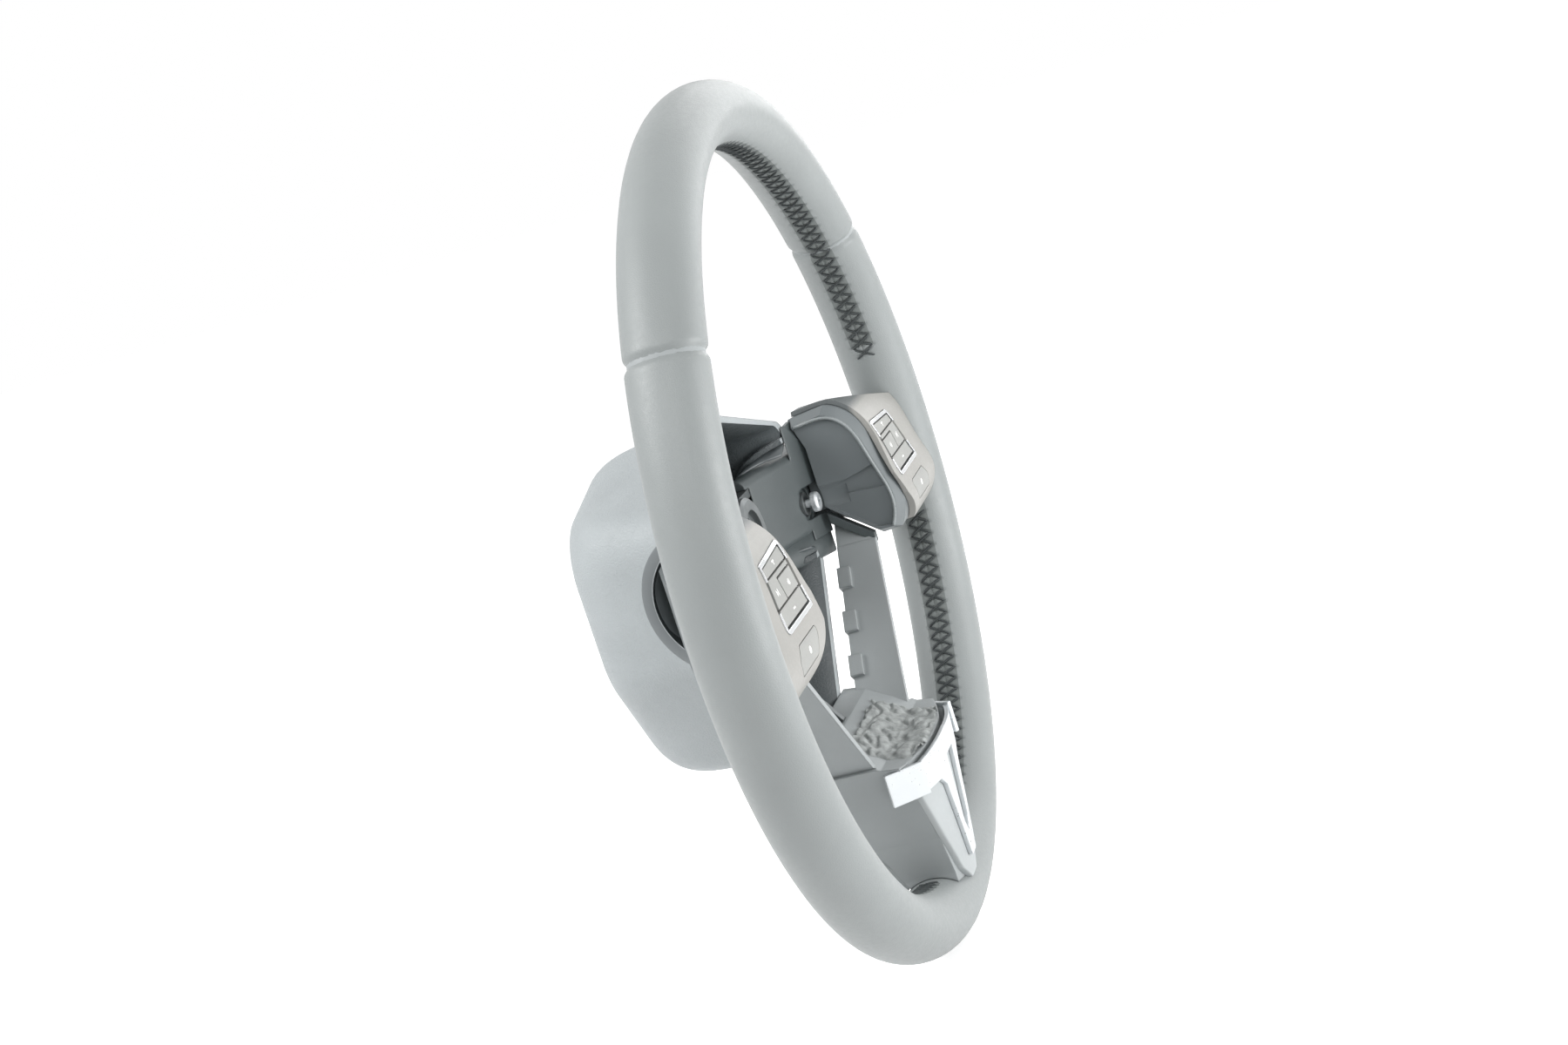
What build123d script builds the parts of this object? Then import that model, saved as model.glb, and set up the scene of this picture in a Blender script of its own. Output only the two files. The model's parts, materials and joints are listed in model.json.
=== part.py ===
from build123d import *
import math
import os

# Steering wheel of a car, without its airbag. +X is the driver's right, +Y points back along the
# steering axis towards the column, +Z is up. Each piece is drawn about the middle of the rim, and
# is moved at the end so that the origin is the middle of the plain bore that seats on the column.
# Right-hand pieces are drawn, and left-hand ones mirror them.

# Rim
rim_radius = 174.0
grip_width = 28.1
grip_depth = 32.3
leather_thickness = 1.2
glue_gap = 0.15
seam_angle = 56.2
seam_gap = 0.8
stitch_groove_width = 1.6
stitch_groove_depth = 0.7

# Clearances between fixed pieces, round moving keys, and round cast or moulded-in metal
fixed_clearance = 0.3
key_clearance = 0.35
insert_clearance = 0.15

# Armature
ring_radius = 5.5
ring_wall = 1.8
sleeve_radius = 8.6
sleeve_degrees = 12.0
hub_plate_y = 45.0
hub_plate_thickness = 8.0
hub_plate_radius = 36.0
boss_radius = 17.0
boss_front_y = 31.0
boss_rear_y = 61.0
pilot_radius = 10.2
pilot_length = 12.0
spline_length = 15.0
spline_root_radius = 9.3
spline_tip_radius = 8.5
spline_teeth = 36
arm_height = 22.0
arm_depth = 9.0
arm_web = 4.0
arm_flange = 3.6
arm_bend_x = 58.0
arm_pod_x = 98.0
arm_pod_y = 36.0
arm_end_y = 3.0
arm_bend_radius = 26.0
lower_arm_width = 19.0
lower_arm_bend_z = -60.0
lower_arm_foot_z = -94.0
lower_arm_foot_y = 24.0
plate_hole_radius = 5.0
plate_hole_circle = 29.0

# Rear cover
cover_wall = 2.5
cover_front_y = 31.6
cover_roof_y = 64.4
cover_back_y = 96.0
cover_half_width = 94.0
cover_peak_z = 54.0
cover_shoulder_z = 29.0
cover_hip_z = -30.0
cover_foot_z = -98.0
cover_foot_half_width = 40.0
cover_roof_half_width = 71.0
cover_roof_foot_z = -89.0
cover_back_half_width = 57.0
cover_back_peak_z = 42.0
cover_back_foot_z = -78.5
column_hole_radius = 35.5
release_hole_height = 52.0
release_hole_z = -4.5
release_hole_y = 59.0
release_lip = 5.0
cover_screw_x = 42.0
cover_screw_low_z = -54.0
cover_post_radius = 5.5
cover_post_floor = 3.0

# Screws
cover_screw_radius = 2.0
cover_screw_length = 16.0
cover_screw_head_radius = 4.0
cover_screw_head_height = 2.4
pod_screw_radius = 2.0
pod_screw_length = 12.0
pod_screw_head_radius = 4.6
pod_screw_head_height = 3.2
pod_screw_x = 86.5
pod_screw_z = -9.0

# Switch pods
pod_inner_x = 98.0
pod_fan_x = 91.5
pod_top_z = 33.0
pod_top_fall = 0.24
pod_bottom_z = -34.0
pod_heel_y = 25.0
pod_heel_z = -18.5
pod_split_y = 30.4
pod_split_slope = 0.54
bezel_wall = 2.2
lip_width = 1.6
lip_height = 1.0
pod_ear_thickness = 3.0
pod_ear_radius = 6.5
key_thickness = 2.4
key_stem_radius = 2.6
key_travel = 1.0
key_gap = 0.8
frame_width = 1.6
frame_proud = 0.5
frame_depth = 3.0
frame_sink = 1.3
board_y = 6.0
board_thickness = 1.6
dome_radius = 2.4
dome_height = 1.3

# Foam round the side spokes
spoke_foam_top_z = 16.0
spoke_foam_low_z = -24.5
spoke_foam_end_x = 50.0
spoke_foam_slope = 0.42
spoke_foam_back_y = 44.0
spoke_foam_round = 5.0
flange_front_y = 25.4
flange_top_z = 28.0
flange_low_z = -26.0
flange_knee_z = 14.0
flange_gap = 0.6

# Lower spoke and hub surround
wall_thickness = 3.0
wall_top_x = 95.0
wall_top_z = -33.0
wall_low_x = 43.0
wall_low_z = -99.0
wall_front_top_y = 6.0
wall_front_low_y = 1.5
wall_back_y = 24.5
ledge_back_z = -88.0
ledge_back_y = 31.0
tab_size = 10.0
tab_width = 6.0
tab_proud = 2.5
tab_heights = (-46.0, -63.0, -80.0)
spoke_top_z = -102.0
spoke_cover_thickness = 2.4
trim_thickness = 1.8
trim_bar_height = 14.0
trim_stem_half_width = 15.5
trim_slot_half_width = 6.5
trim_slot_top_z = -110.0
trim_slot_tip_z = -148.0
trim_tip_z = -157.0
return_thickness = 1.6

# Release springs of the airbag
spring_wire_radius = 1.2
spring_bend_radius = 3.5

# Worked out from the dimensions above
hub_plate_back_y = hub_plate_y + hub_plate_thickness
bore_y = boss_rear_y - pilot_length / 2
grip_half_width = grip_width / 2
grip_half_depth = grip_depth / 2
arm_y = hub_plate_y + hub_plate_thickness / 2
arm_back_y = arm_y + arm_depth / 2
dome_top_y = board_y - dome_height
stem_end_y = dome_top_y - key_travel - fixed_clearance
spring_y = arm_back_y + spring_wire_radius + fixed_clearance
far = 300.0


# Shared shapes
def face_xz(points, radius=0.0):
    """A face in the XZ plane from its corners, each rounded by the same radius."""
    face = make_face(Polyline(*[(x, 0, z) for x, z in points], close=True))
    if radius > 0:
        face = fillet(face.vertices(), radius)
    return face


def prism_y(face, near, end):
    """An XZ face carried along the steering axis from one depth to another."""
    return extrude(Pos(0, near, 0) * face, amount=end - near, dir=(0, 1, 0))


def block(x_range, y_range, z_range):
    """A plain block between pairs of coordinates."""
    size = [b - a for a, b in (x_range, y_range, z_range)]
    middle = [(a + b) / 2 for a, b in (x_range, y_range, z_range)]
    return Pos(*middle) * Box(*size)


def rod_y(radius, near, end, x=0.0, z=0.0):
    """A round bar along the steering axis."""
    return Pos(x, near, z) * Rot(-90, 0, 0) * extrude(Circle(radius), amount=end - near)


def mirrored(shape):
    """The same piece for the other side of the wheel."""
    return mirror(shape, about=Plane.YZ)


# Rim
def grip(grow):
    """The rim's full grip, its surface moved outward by grow."""
    section = Pos(rim_radius, 0) * Ellipse(grip_half_width + grow, grip_half_depth + grow)
    return revolve(section, Axis.Y)


def beam(path, depth, width, web, flange):
    """A cast arm of I section: a web along the path with a flange on each side of it."""
    core = extrude(trace(path, web), amount=width / 2, both=True)
    rail = extrude(trace(path, depth), amount=flange)
    shift = Vector(0, 0, width / 2 - flange)
    return core + Pos(*shift) * rail + Pos(*-shift) * Pos(0, 0, -flange) * rail


def side_arm(grow):
    """The right-hand arm, from the hub plate to the rim's ring."""
    points = [(0, arm_y), (arm_bend_x, arm_y), (arm_pod_x, arm_pod_y), (rim_radius - 12, arm_end_y), (rim_radius, 0)]
    path = FilletPolyline(*points, radius=arm_bend_radius)
    if grow > 0:
        return extrude(trace(path, arm_depth + 2 * grow), amount=arm_height / 2 + grow, both=True)
    return beam(path, arm_depth, arm_height, arm_web, arm_flange)


def lower_arm(grow):
    """The arm to the foot of the rim, drawn flat and turned down."""
    points = [(0, arm_y), (-lower_arm_bend_z, arm_y - 2), (-lower_arm_foot_z, lower_arm_foot_y),
              (rim_radius - 12, arm_end_y), (rim_radius, 0)]
    path = FilletPolyline(*points, radius=arm_bend_radius)
    if grow > 0:
        flat = extrude(trace(path, arm_depth + 2 * grow), amount=lower_arm_width / 2 + grow, both=True)
    else:
        flat = beam(path, arm_depth, lower_arm_width, arm_web, arm_flange)
    return Rot(0, 90, 0) * flat


def ring_core(grow):
    """The outer form of the steel ring inside the rim."""
    return revolve(Pos(rim_radius, 0) * Circle(ring_radius + grow), Axis.Y)


def rim_ring():
    """The bent and welded steel tube that stiffens the rim."""
    return revolve(Pos(rim_radius, 0) * (Circle(ring_radius) - Circle(ring_radius - ring_wall)), Axis.Y)


def sleeves(grow):
    """The lumps that the casting forms round the ring at the end of each arm."""
    arc = sleeve_degrees + math.degrees(2 * grow / rim_radius)
    lump = revolve(Pos(rim_radius, 0) * Circle(sleeve_radius + grow), Axis.Y, arc)
    return [Rot(0, middle - arc / 2, 0) * lump for middle in (0, 90, 180)]


def splined_bore():
    """The serrated bore of the hub, as the solid that is cut away."""
    points = []
    for i in range(spline_teeth):
        start = 2 * math.pi * i / spline_teeth
        step = 2 * math.pi / spline_teeth
        for share, radius in ((0.0, spline_tip_radius), (0.5, spline_root_radius)):
            angle = start + share * step
            points.append((radius * math.cos(angle), radius * math.sin(angle)))
    star = make_face(Polyline(*points, close=True))
    length = boss_rear_y - boss_front_y
    return Pos(0, boss_front_y, 0) * Rot(-90, 0, 0) * extrude(star, amount=length)


def armature():
    """One casting: hub boss and plate, and three arms that end round the rim's ring."""
    plate = rod_y(hub_plate_radius, hub_plate_y, hub_plate_back_y)
    plate = fillet(plate.edges().filter_by(GeomType.CIRCLE), 1.5)
    boss = rod_y(boss_radius, boss_front_y, boss_rear_y)
    boss = chamfer(boss.edges().filter_by(GeomType.CIRCLE), 1.5)
    cast = plate + boss + side_arm(0) + mirrored(side_arm(0)) + lower_arm(0)
    for x, z in cover_screw_places():
        cast += rod_y(cover_post_radius, hub_plate_y + 0.5, arm_back_y, x, z)
    post_end = arm_pod_y + (arm_y - arm_pod_y) * (arm_pod_x - pod_screw_x) / (arm_pod_x - arm_bend_x)
    for side in (-1, 1):
        cast += rod_y(pod_ear_radius - 1, pod_split_y + insert_clearance, post_end, side * pod_screw_x, pod_screw_z)
    for lump in sleeves(0):
        cast += lump
    cast -= ring_core(insert_clearance)
    for i in range(6):
        angle = math.radians(30 + 60 * i)
        x = plate_hole_circle * math.cos(angle)
        z = plate_hole_circle * math.sin(angle)
        if abs(z) > arm_height / 2 + plate_hole_radius / 2 and (abs(x) > 3 or z > 0):
            cast -= rod_y(plate_hole_radius, 0, far, x, z)
    cast -= splined_bore()
    cast -= rod_y(spline_root_radius + 2, 0, boss_rear_y - pilot_length - spline_length)
    cast -= rod_y(pilot_radius, boss_rear_y - pilot_length, boss_rear_y)
    for x, z in cover_screw_places():
        cast -= rod_y(cover_screw_radius + insert_clearance, 0, far, x, z)
    for side in (-1, 1):
        cast -= rod_y(pod_screw_radius + insert_clearance, 0, far, side * pod_screw_x, pod_screw_z)
    return cast


def foam_profile(points):
    """A profile in the XY plane carried over the height of the spoke's foam."""
    flat = make_face(Polyline(*points, close=True))
    return Pos(0, 0, spoke_foam_low_z) * extrude(flat, amount=spoke_foam_top_z - spoke_foam_low_z)


def flange_outline(gap):
    """The foam's flange at the pod in the YZ plane: a straight front with a knee, moved forward by gap."""
    front = flange_front_y - gap
    points = [(cover_front_y - 0.4, flange_top_z + gap), (29.8 - gap, flange_top_z + gap), (front, flange_knee_z + gap),
              (front, flange_low_z - gap), (cover_front_y - 0.4, flange_low_z - gap)]
    return make_face(Polyline(*[(0, y, z) for y, z in points], close=True))


def spoke_foam():
    """The foam round the right-hand arm: a sloping web from the hub, a flange at the pod, and the
    part behind the pod up to the rim."""
    x0 = pod_inner_x - 0.5
    x1 = rim_radius - grip_half_width + 6
    back = spoke_foam_back_y
    end_front = flange_front_y + spoke_foam_slope * (x0 - spoke_foam_end_x)
    web = foam_profile([(x0, flange_front_y), (spoke_foam_end_x, end_front), (spoke_foam_end_x, hub_plate_back_y - 3),
                        (78, back + 3), (x0, back)])
    front_edges = web.edges().sort_by(Axis.Y).filter_by(lambda edge: edge.length > 40 and edge.center().Y < 40)
    web = fillet(front_edges, spoke_foam_round)
    flange = extrude(Pos(84, 0, 0) * flange_outline(0), amount=x0 - 84, dir=(1, 0, 0))
    wedge = [(x0, flange_front_y), (spoke_foam_end_x, end_front), (spoke_foam_end_x, 0), (x0, 0)]
    flange -= extrude(make_face(Polyline(*wedge, close=True)), amount=80, both=True)
    split = pod_split_y + fixed_clearance
    drop = pod_split_slope * (x1 - pod_inner_x)
    outer = foam_profile([(x0, split), (pod_inner_x, split), (x1, split - drop), (x1, 12), (x1 - 12, 22), (x0, back)])
    ear_gap = 1.0
    ear_z = (pod_screw_z - pod_ear_radius - ear_gap, pod_screw_z + pod_ear_radius + ear_gap)
    room = rod_y(pod_ear_radius + ear_gap, 0, split + 1, pod_screw_x, pod_screw_z)
    room += block((pod_screw_x, pod_inner_x + 2), (0, split), ear_z)
    return largest(web + flange + outer - room - grip(fixed_clearance) - side_arm(insert_clearance) - arm_post_room())


def arm_post_room():
    """Room in the foam for the casting's post under the pod's ear."""
    return rod_y(pod_ear_radius - 1 + insert_clearance, pod_split_y, arm_y, pod_screw_x, pod_screw_z)


def rim_foam():
    """Foam moulded round the ring and the ends of the arms."""
    foam = grip(-leather_thickness - glue_gap)
    foam -= ring_core(insert_clearance)
    for lump in sleeves(insert_clearance):
        foam -= lump
    side = side_arm(insert_clearance)
    return foam - side - mirrored(side) - lower_arm(insert_clearance)


def leather(arc, middle):
    """A leather panel over part of the rim, centred on the top (90) or the foot (-90)."""
    outer = Ellipse(grip_half_width, grip_half_depth)
    inner = Ellipse(grip_half_width - leather_thickness, grip_half_depth - leather_thickness)
    groove = Pos(-grip_half_width, 0) * Rectangle(2 * stitch_groove_depth, stitch_groove_width)
    section = Pos(rim_radius, 0) * (outer - inner - groove)
    panel = revolve(section, Axis.Y, arc)
    turn = -(middle + arc / 2)
    return Rot(0, turn, 0) * panel


def leather_upper():
    """The panel over the top of the rim."""
    gap = math.degrees(seam_gap / rim_radius)
    return leather(2 * seam_angle - gap, 90)


def leather_lower():
    """The panel round the sides and foot, cut out where the arms come through."""
    gap = math.degrees(seam_gap / rim_radius)
    panel = leather(360 - 2 * seam_angle - gap, -90)
    side = side_arm(fixed_clearance)
    return panel - side - mirrored(side) - lower_arm(fixed_clearance)


# Rear cover
def cover_ring(y, half_width, peak, shoulder, hip, foot_half, foot, radius):
    """One outline of the rear cover: peaked top, straight sides and a narrow foot."""
    points = [
        (0, peak),
        (half_width, shoulder),
        (half_width, hip),
        (foot_half, foot),
        (-foot_half, foot),
        (-half_width, hip),
        (-half_width, shoulder),
    ]
    return Pos(0, y, 0) * face_xz(points, radius)


def cover_shell(inset, front):
    """The cover's form, moved inward by inset, from a front plane to its back."""
    w = cover_half_width
    b = cover_back_half_width
    f = cover_foot_half_width
    fb = 0.62 * f
    i = inset
    rings = [
        (front, w - i, cover_peak_z - i, cover_shoulder_z, cover_hip_z, f - i, cover_foot_z + i, 16),
        (cover_roof_y, cover_roof_half_width - i, cover_peak_z - 2 - i, cover_shoulder_z + 2, cover_hip_z - 3,
         f - 6 - i, cover_roof_foot_z + i, 22),
        (cover_back_y - 5, b + 3 - i, cover_back_peak_z + 2 - i, 30, -34, fb + 2 - i, cover_back_foot_z - 4 + i, 26),
        (cover_back_y - i, b - 6 - i, cover_back_peak_z - 5 - i, 26, -32, fb - 2 - i, cover_back_foot_z + 6 + i, 24),
    ]
    return loft([cover_ring(*values) for values in rings])


def cover_screw_places():
    """X and Z of the three screws that hold the rear cover."""
    return [(cover_screw_x, 0), (-cover_screw_x, 0), (0, cover_screw_low_z)]


def rear_cover():
    """The bowl behind the hub: open to the front, with a column hole and two release cut-outs."""
    shell = cover_shell(0, cover_front_y) - cover_shell(cover_wall, cover_front_y - 1)
    post_front = arm_back_y + insert_clearance
    for x, z in cover_screw_places():
        shell += rod_y(cover_post_radius, post_front, cover_back_y - cover_wall, x, z)
    reach = release_hole_y - cover_front_y
    for side in (-1, 1):
        oval = Plane.YZ * Ellipse(reach, release_hole_height / 2)
        cut = extrude(Pos(0, cover_front_y, release_hole_z) * oval, amount=far, dir=(side, 0, 0))
        rim = Plane.YZ * Ellipse(reach + cover_wall, release_hole_height / 2 + cover_wall)
        lip = extrude(Pos(0, cover_front_y, release_hole_z) * rim, amount=far, dir=(side, 0, 0))
        lip &= cover_shell(cover_wall - 0.2, cover_front_y) - cover_shell(release_lip, cover_front_y - 1)
        shell += lip
        shell -= cut
    shell -= rod_y(column_hole_radius, cover_roof_y - 8, far)
    for x, z in cover_screw_places():
        shell -= rod_y(cover_post_radius - 1.3, post_front + cover_post_floor, far, x, z)
        shell -= rod_y(cover_screw_radius + insert_clearance, 0, far, x, z)
    return shell


def screw(radius, length, head_radius, head_height):
    """A pan-head screw with a cross recess, its head's seat at the origin, pointing to +Y."""
    head = rod_y(head_radius, -head_height, 0)
    head = fillet(head.faces().sort_by(Axis.Y)[0].edges(), head_height * 0.45)
    body = head + rod_y(radius, 0, length)
    tip = body.faces().sort_by(Axis.Y)[-1].edges()
    body = chamfer(tip, radius * 0.4)
    for turn in (0, 90):
        slot = block((-radius, radius), (-head_height - 1, -head_height * 0.45), (-0.5, 0.5))
        body -= Rot(0, turn, 0) * slot
    return body


def rear_cover_screws():
    """The three screws in the posts of the rear cover, driven from behind."""
    seat = arm_back_y + insert_clearance + cover_post_floor
    one = screw(cover_screw_radius, cover_screw_length, cover_screw_head_radius, cover_screw_head_height)
    turned = Rot(180, 0, 0) * one
    return Compound(children=[Pos(x, seat, z) * turned for x, z in cover_screw_places()])


# Switch pods, right-hand side
def pod_front(depth, inset=0.0):
    """The curve of the pod's front in the YZ plane, moved back by depth and inward by inset."""
    points = [(12, pod_top_z), (-5, 17.5), (-10.8, -6), (-13.8, -22), (-8, pod_bottom_z)]
    curve = Spline(*[(0, y + depth, z) for y, z in points])
    if inset > 0:
        moved = []
        for share in (0, 0.25, 0.5, 0.75, 1):
            along = curve % share
            moved.append(curve @ share + inset * Vector(0, -along.Z, along.Y))
        curve = Spline(*moved)
    return curve


def pod_section(inset):
    """The pod's closed section in the YZ plane, moved inward by inset."""
    i = inset
    front = pod_front(0, i)
    low = Polyline(front @ 1, (0, 3, pod_bottom_z - 1.5 + i), (0, pod_heel_y, pod_heel_z + i),
                   (0, 52, pod_heel_z + i))
    top = Polyline((0, 52, 30 - i), (0, 30, 31 - i), front @ 0)
    return make_face([front, low, Line(low @ 1, top @ 0), top])


def pod_room(inset):
    """The pod's full form without its wall: the section carried across, under a top that falls to the rim."""
    solid = extrude(Pos(pod_fan_x, 0, 0) * pod_section(inset), amount=80, dir=(1, 0, 0))
    top = pod_top_z + 0.5 - inset
    falling = [(pod_fan_x, top), (pod_inner_x, top), (rim_radius, top - pod_top_fall * (rim_radius - pod_inner_x)),
               (rim_radius, -60), (pod_fan_x, -60)]
    return solid & prism_y(face_xz(falling), -60, 60)


def pod_band(near, end):
    """A layer between two depths behind the pod's front."""
    front = pod_front(near)
    back = pod_front(end)
    face = make_face([front, Line(front @ 1, back @ 1), back, Line(back @ 0, front @ 0)])
    return extrude(Pos(pod_fan_x, 0, 0) * face, amount=80, dir=(1, 0, 0))


def behind_split():
    """Everything behind the slanting plane where the pod meets the arm's foam."""
    x1 = rim_radius
    drop = pod_split_slope * (x1 - pod_inner_x)
    y = pod_split_y
    points = [(0, y), (pod_inner_x, y), (x1, y - drop), (x1, far), (0, far)]
    return extrude(make_face(Polyline(*points, close=True)), amount=80, both=True)


def pod_outline():
    """The pod seen from the front: a bulging inner edge and a foot that slants to the rim."""
    points = [(pod_inner_x + 6, 60), (pod_inner_x + 2.5, 27), (pod_inner_x - 1, 8), (pod_inner_x - 3.5, -7)]
    edge = Spline(*[(x, 0, z) for x, z in points])
    foot = Polyline(edge @ 1, (pod_inner_x, 0, -18), (pod_inner_x + 14, 0, pod_bottom_z + 2), (rim_radius, 0, -52),
                    (rim_radius, 0, 60), edge @ 0)
    return make_face([edge, foot])


cluster = [(100.3, 17.5), (134.0, 15.8), (144.0, -10.4), (102.2, -10.6)]
split_high_z = 9.6
split_low_z = -1.6
inner_key_x = 122.6
lower_key = [(110.5, -15.8), (140.0, -15.6), (146.5, -21.0), (145.5, -26.6), (118.0, -26.6)]


def key_outlines():
    """Each key's outline in the XZ plane, by name."""
    g = key_gap / 2
    window = offset(fillet(face_xz(cluster).vertices(), 2.0), -(frame_width + key_gap))
    top = window & face_xz([(90, split_high_z + g), (160, split_high_z + g), (160, 40), (90, 40)])
    bottom = window & face_xz([(90, split_low_z - g), (160, split_low_z - g), (160, -40), (90, -40)])
    band = face_xz([(90, split_low_z + g), (160, split_low_z + g), (160, split_high_z - g), (90, split_high_z - g)])
    middle = window & band
    notch = [(90, split_low_z + g), (inner_key_x + g, split_low_z + g), (inner_key_x + g, 7.2 + g), (90, 7.2 + g)]
    inner = window & face_xz([(90, split_low_z + g), (inner_key_x - g, split_low_z + g),
                              (inner_key_x - g, 7.2 - g), (90, 7.2 - g)])
    outer = middle - face_xz(notch)
    low = offset(face_xz(lower_key, 2.0), -key_clearance)
    return {"key_top": top, "key_bottom": bottom, "key_outer": outer, "key_inner": inner, "key_lower": low}


stem_places = {
    "key_top": (117.0, 12.4),
    "key_bottom": (121.5, -5.6),
    "key_outer": (130.0, 3.2),
    "key_inner": (112.5, 2.6),
    "key_lower": (129.0, -20.6),
}


def key(name):
    """One key: a cap that follows the pod's front, and a stem that reaches for its switch."""
    cap = prism_y(key_outlines()[name], -40, 40) & pod_band(0, key_thickness)
    x, z = stem_places[name]
    stem = rod_y(key_stem_radius, -40, stem_end_y, x, z) & pod_band(key_thickness - 0.5, 60)
    return cap + stem


def key_frame():
    """The bright frame of the four keys: two U shapes, joined by sides that lie deeper."""
    outer = fillet(face_xz(cluster).vertices(), 2.0)
    ring = prism_y(outer - offset(outer, -frame_width), -40, 40)
    proud = ring & pod_band(-frame_proud, frame_depth)
    deep = ring & pod_band(frame_sink, frame_depth)
    middle = block((90, 160), (-40, 40), (split_low_z - 0.6, split_high_z - 0.2))
    return (proud - middle) + (deep & middle)


def pod_bezel():
    """The light shell of the pod, with a window for the key frame and one for the fifth key."""
    solid = pod_room(0) - pod_room(bezel_wall)
    solid &= prism_y(pod_outline(), -60, 60)
    solid -= grip(fixed_clearance)
    solid -= behind_split()
    frame_room = offset(fillet(face_xz(cluster).vertices(), 2.0), glue_gap)
    solid -= prism_y(frame_room, -40, 14)
    solid -= prism_y(face_xz(lower_key, 2.0), -40, 14)
    solid -= block((rim_radius - 8, far), (-far, far), (-far, far))
    return largest(solid)


def largest(shape):
    """The biggest solid of a shape."""
    return shape.solids().sort_by(SortBy.VOLUME)[-1]


def pod_carrier():
    """The dark housing behind the bezel: fan-shaped inner face, lip, ear for the screw and a
    pocket for the switch board."""
    inset = bezel_wall + glue_gap
    section = Pos(pod_inner_x + 0.5, 0, 0) * pod_section(inset)
    body = extrude(section, amount=52, dir=(1, 0, 0)) & pod_room(inset)
    cap = loft([section, Pos(pod_fan_x + 1, 0, 0) * pod_section(inset + 3.0)])
    fan = pod_section(inset + 3.0)
    fan_floor = pod_section(inset + 3.0 + lip_width)
    lip = extrude(Pos(pod_fan_x + 1, 0, 0) * (fan - fan_floor), amount=lip_height, dir=(-1, 0, 0))
    body = body + cap + lip
    valley = [(pod_split_y, pod_screw_z), (-14, 3), (-15, -12)]
    facet = make_face(Polyline(*[(0, y, z) for y, z in valley], close=True))
    inside = extrude(Pos(pod_fan_x - 2, 0, 0) * fan_floor, amount=20, dir=(1, 0, 0))
    body -= extrude(Pos(pod_fan_x, 0, 0) * facet, amount=2.2, dir=(1, 0, 0)) & inside
    body -= grip(fixed_clearance)
    body -= behind_split()
    body -= extrude(Pos(pod_fan_x - 3, 0, 0) * flange_outline(flange_gap), amount=pod_inner_x - pod_fan_x + 3.1, dir=(1, 0, 0))
    ear_y = (pod_split_y - pod_ear_thickness, pod_split_y)
    ear = rod_y(pod_ear_radius, *ear_y, pod_screw_x, pod_screw_z)
    ear += block((pod_screw_x, pod_inner_x), ear_y, (pod_screw_z - pod_ear_radius, pod_screw_z + pod_ear_radius))
    body -= rod_y(pod_ear_radius + 1.5, 12, ear_y[0], pod_screw_x, pod_screw_z)
    body += ear
    body -= rod_y(pod_screw_radius + insert_clearance, 0, far, pod_screw_x, pod_screw_z)
    pocket = face_xz([(99.4, 18.7), (136.5, 17.2), (147.5, -12), (147.5, -27.6), (111, -27.6), (99.4, -14)], 2.0)
    body -= prism_y(pocket, -40, board_y + board_thickness)
    return largest(body)


def switch_board():
    """The board at the foot of the pocket with a push switch under each key."""
    plate = face_xz([(102, 18.4), (135.4, 16.8), (138, -12), (138, -27), (111.4, -27), (102, -15.8)], 1.5)
    board = prism_y(plate, board_y, board_y + board_thickness)
    for x, z in stem_places.values():
        board += rod_y(dome_radius, dome_top_y, board_y, x, z)
        board += block((x - 3, x + 3), (board_y - 0.7, board_y), (z - 3, z + 3))
    return board


def pod_screw():
    """The silver screw through the carrier's ear into the arm."""
    one = screw(pod_screw_radius, pod_screw_length, pod_screw_head_radius, pod_screw_head_height)
    return Pos(pod_screw_x, pod_split_y - pod_ear_thickness, pod_screw_z) * one


def airbag_spring():
    """A bent wire loop behind the release cut-out, lying on the back of the arm."""
    s = arm_height / 2 - 2
    x0 = 50.0
    x1 = 58.0
    x2 = 62.0
    y1 = spring_y + 6
    points = [(x0, spring_y, s), (x1, spring_y, s), (x2, y1, s - 1), (x2, y1, 1 - s), (x1, spring_y, -s), (x0, spring_y, -s)]
    path = FilletPolyline(*points, radius=spring_bend_radius, close=True)
    start = path @ 0
    plane = Plane(origin=start, z_dir=path % 0)
    return sweep(plane * Circle(spring_wire_radius), path=path)


# Lower spoke and hub surround
def crown(z_top, z_low, depth):
    """Everything in front of the lower spoke's crowned face, which is moved back by depth."""
    faces = []
    for z, half, middle_y, side_y in ((z_top, 52, -20.0, -9.5), (z_low, 52, -14.6, -3.0)):
        arc = ThreePointArc((-half, side_y + depth, z), (0, middle_y + depth, z), (half, side_y + depth, z))
        box = Polyline(arc @ 1, (half, -80, z), (-half, -80, z), arc @ 0)
        faces.append(make_face([arc, box]))
    return loft(faces)


def crown_band(near, end):
    """A layer between two depths behind the crowned face."""
    z_top = spoke_top_z + 12
    z_low = -rim_radius
    return crown(z_top, z_low, end) - crown(z_top, z_low, near)


def spoke_outline(grow):
    """The lower spoke from the front: wide at the top, narrow where it meets the rim."""
    top = (46 + grow, spoke_top_z + 4)
    points = [top, (37 + grow, -117), (26 + grow, -139), (19 + grow, -158), (16 + grow, -rim_radius)]
    return points + [(-x, z) for x, z in reversed(points)]


def trim_returns(grow):
    """The sides of the silver trim that wrap back over the spoke."""
    outer = [(38.6, -17.4), (48, -3)]
    inner = [(x - return_thickness, y + 0.6 * return_thickness) for x, y in reversed(outer)]
    flat = make_face(Polyline(*outer, *inner, close=True))
    if grow > 0:
        flat = offset(flat, grow)
    low = spoke_top_z - trim_bar_height + 1
    bar = Pos(0, 0, low - grow) * extrude(flat, amount=trim_bar_height + 2 * grow)
    return bar + mirrored(bar)


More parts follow.
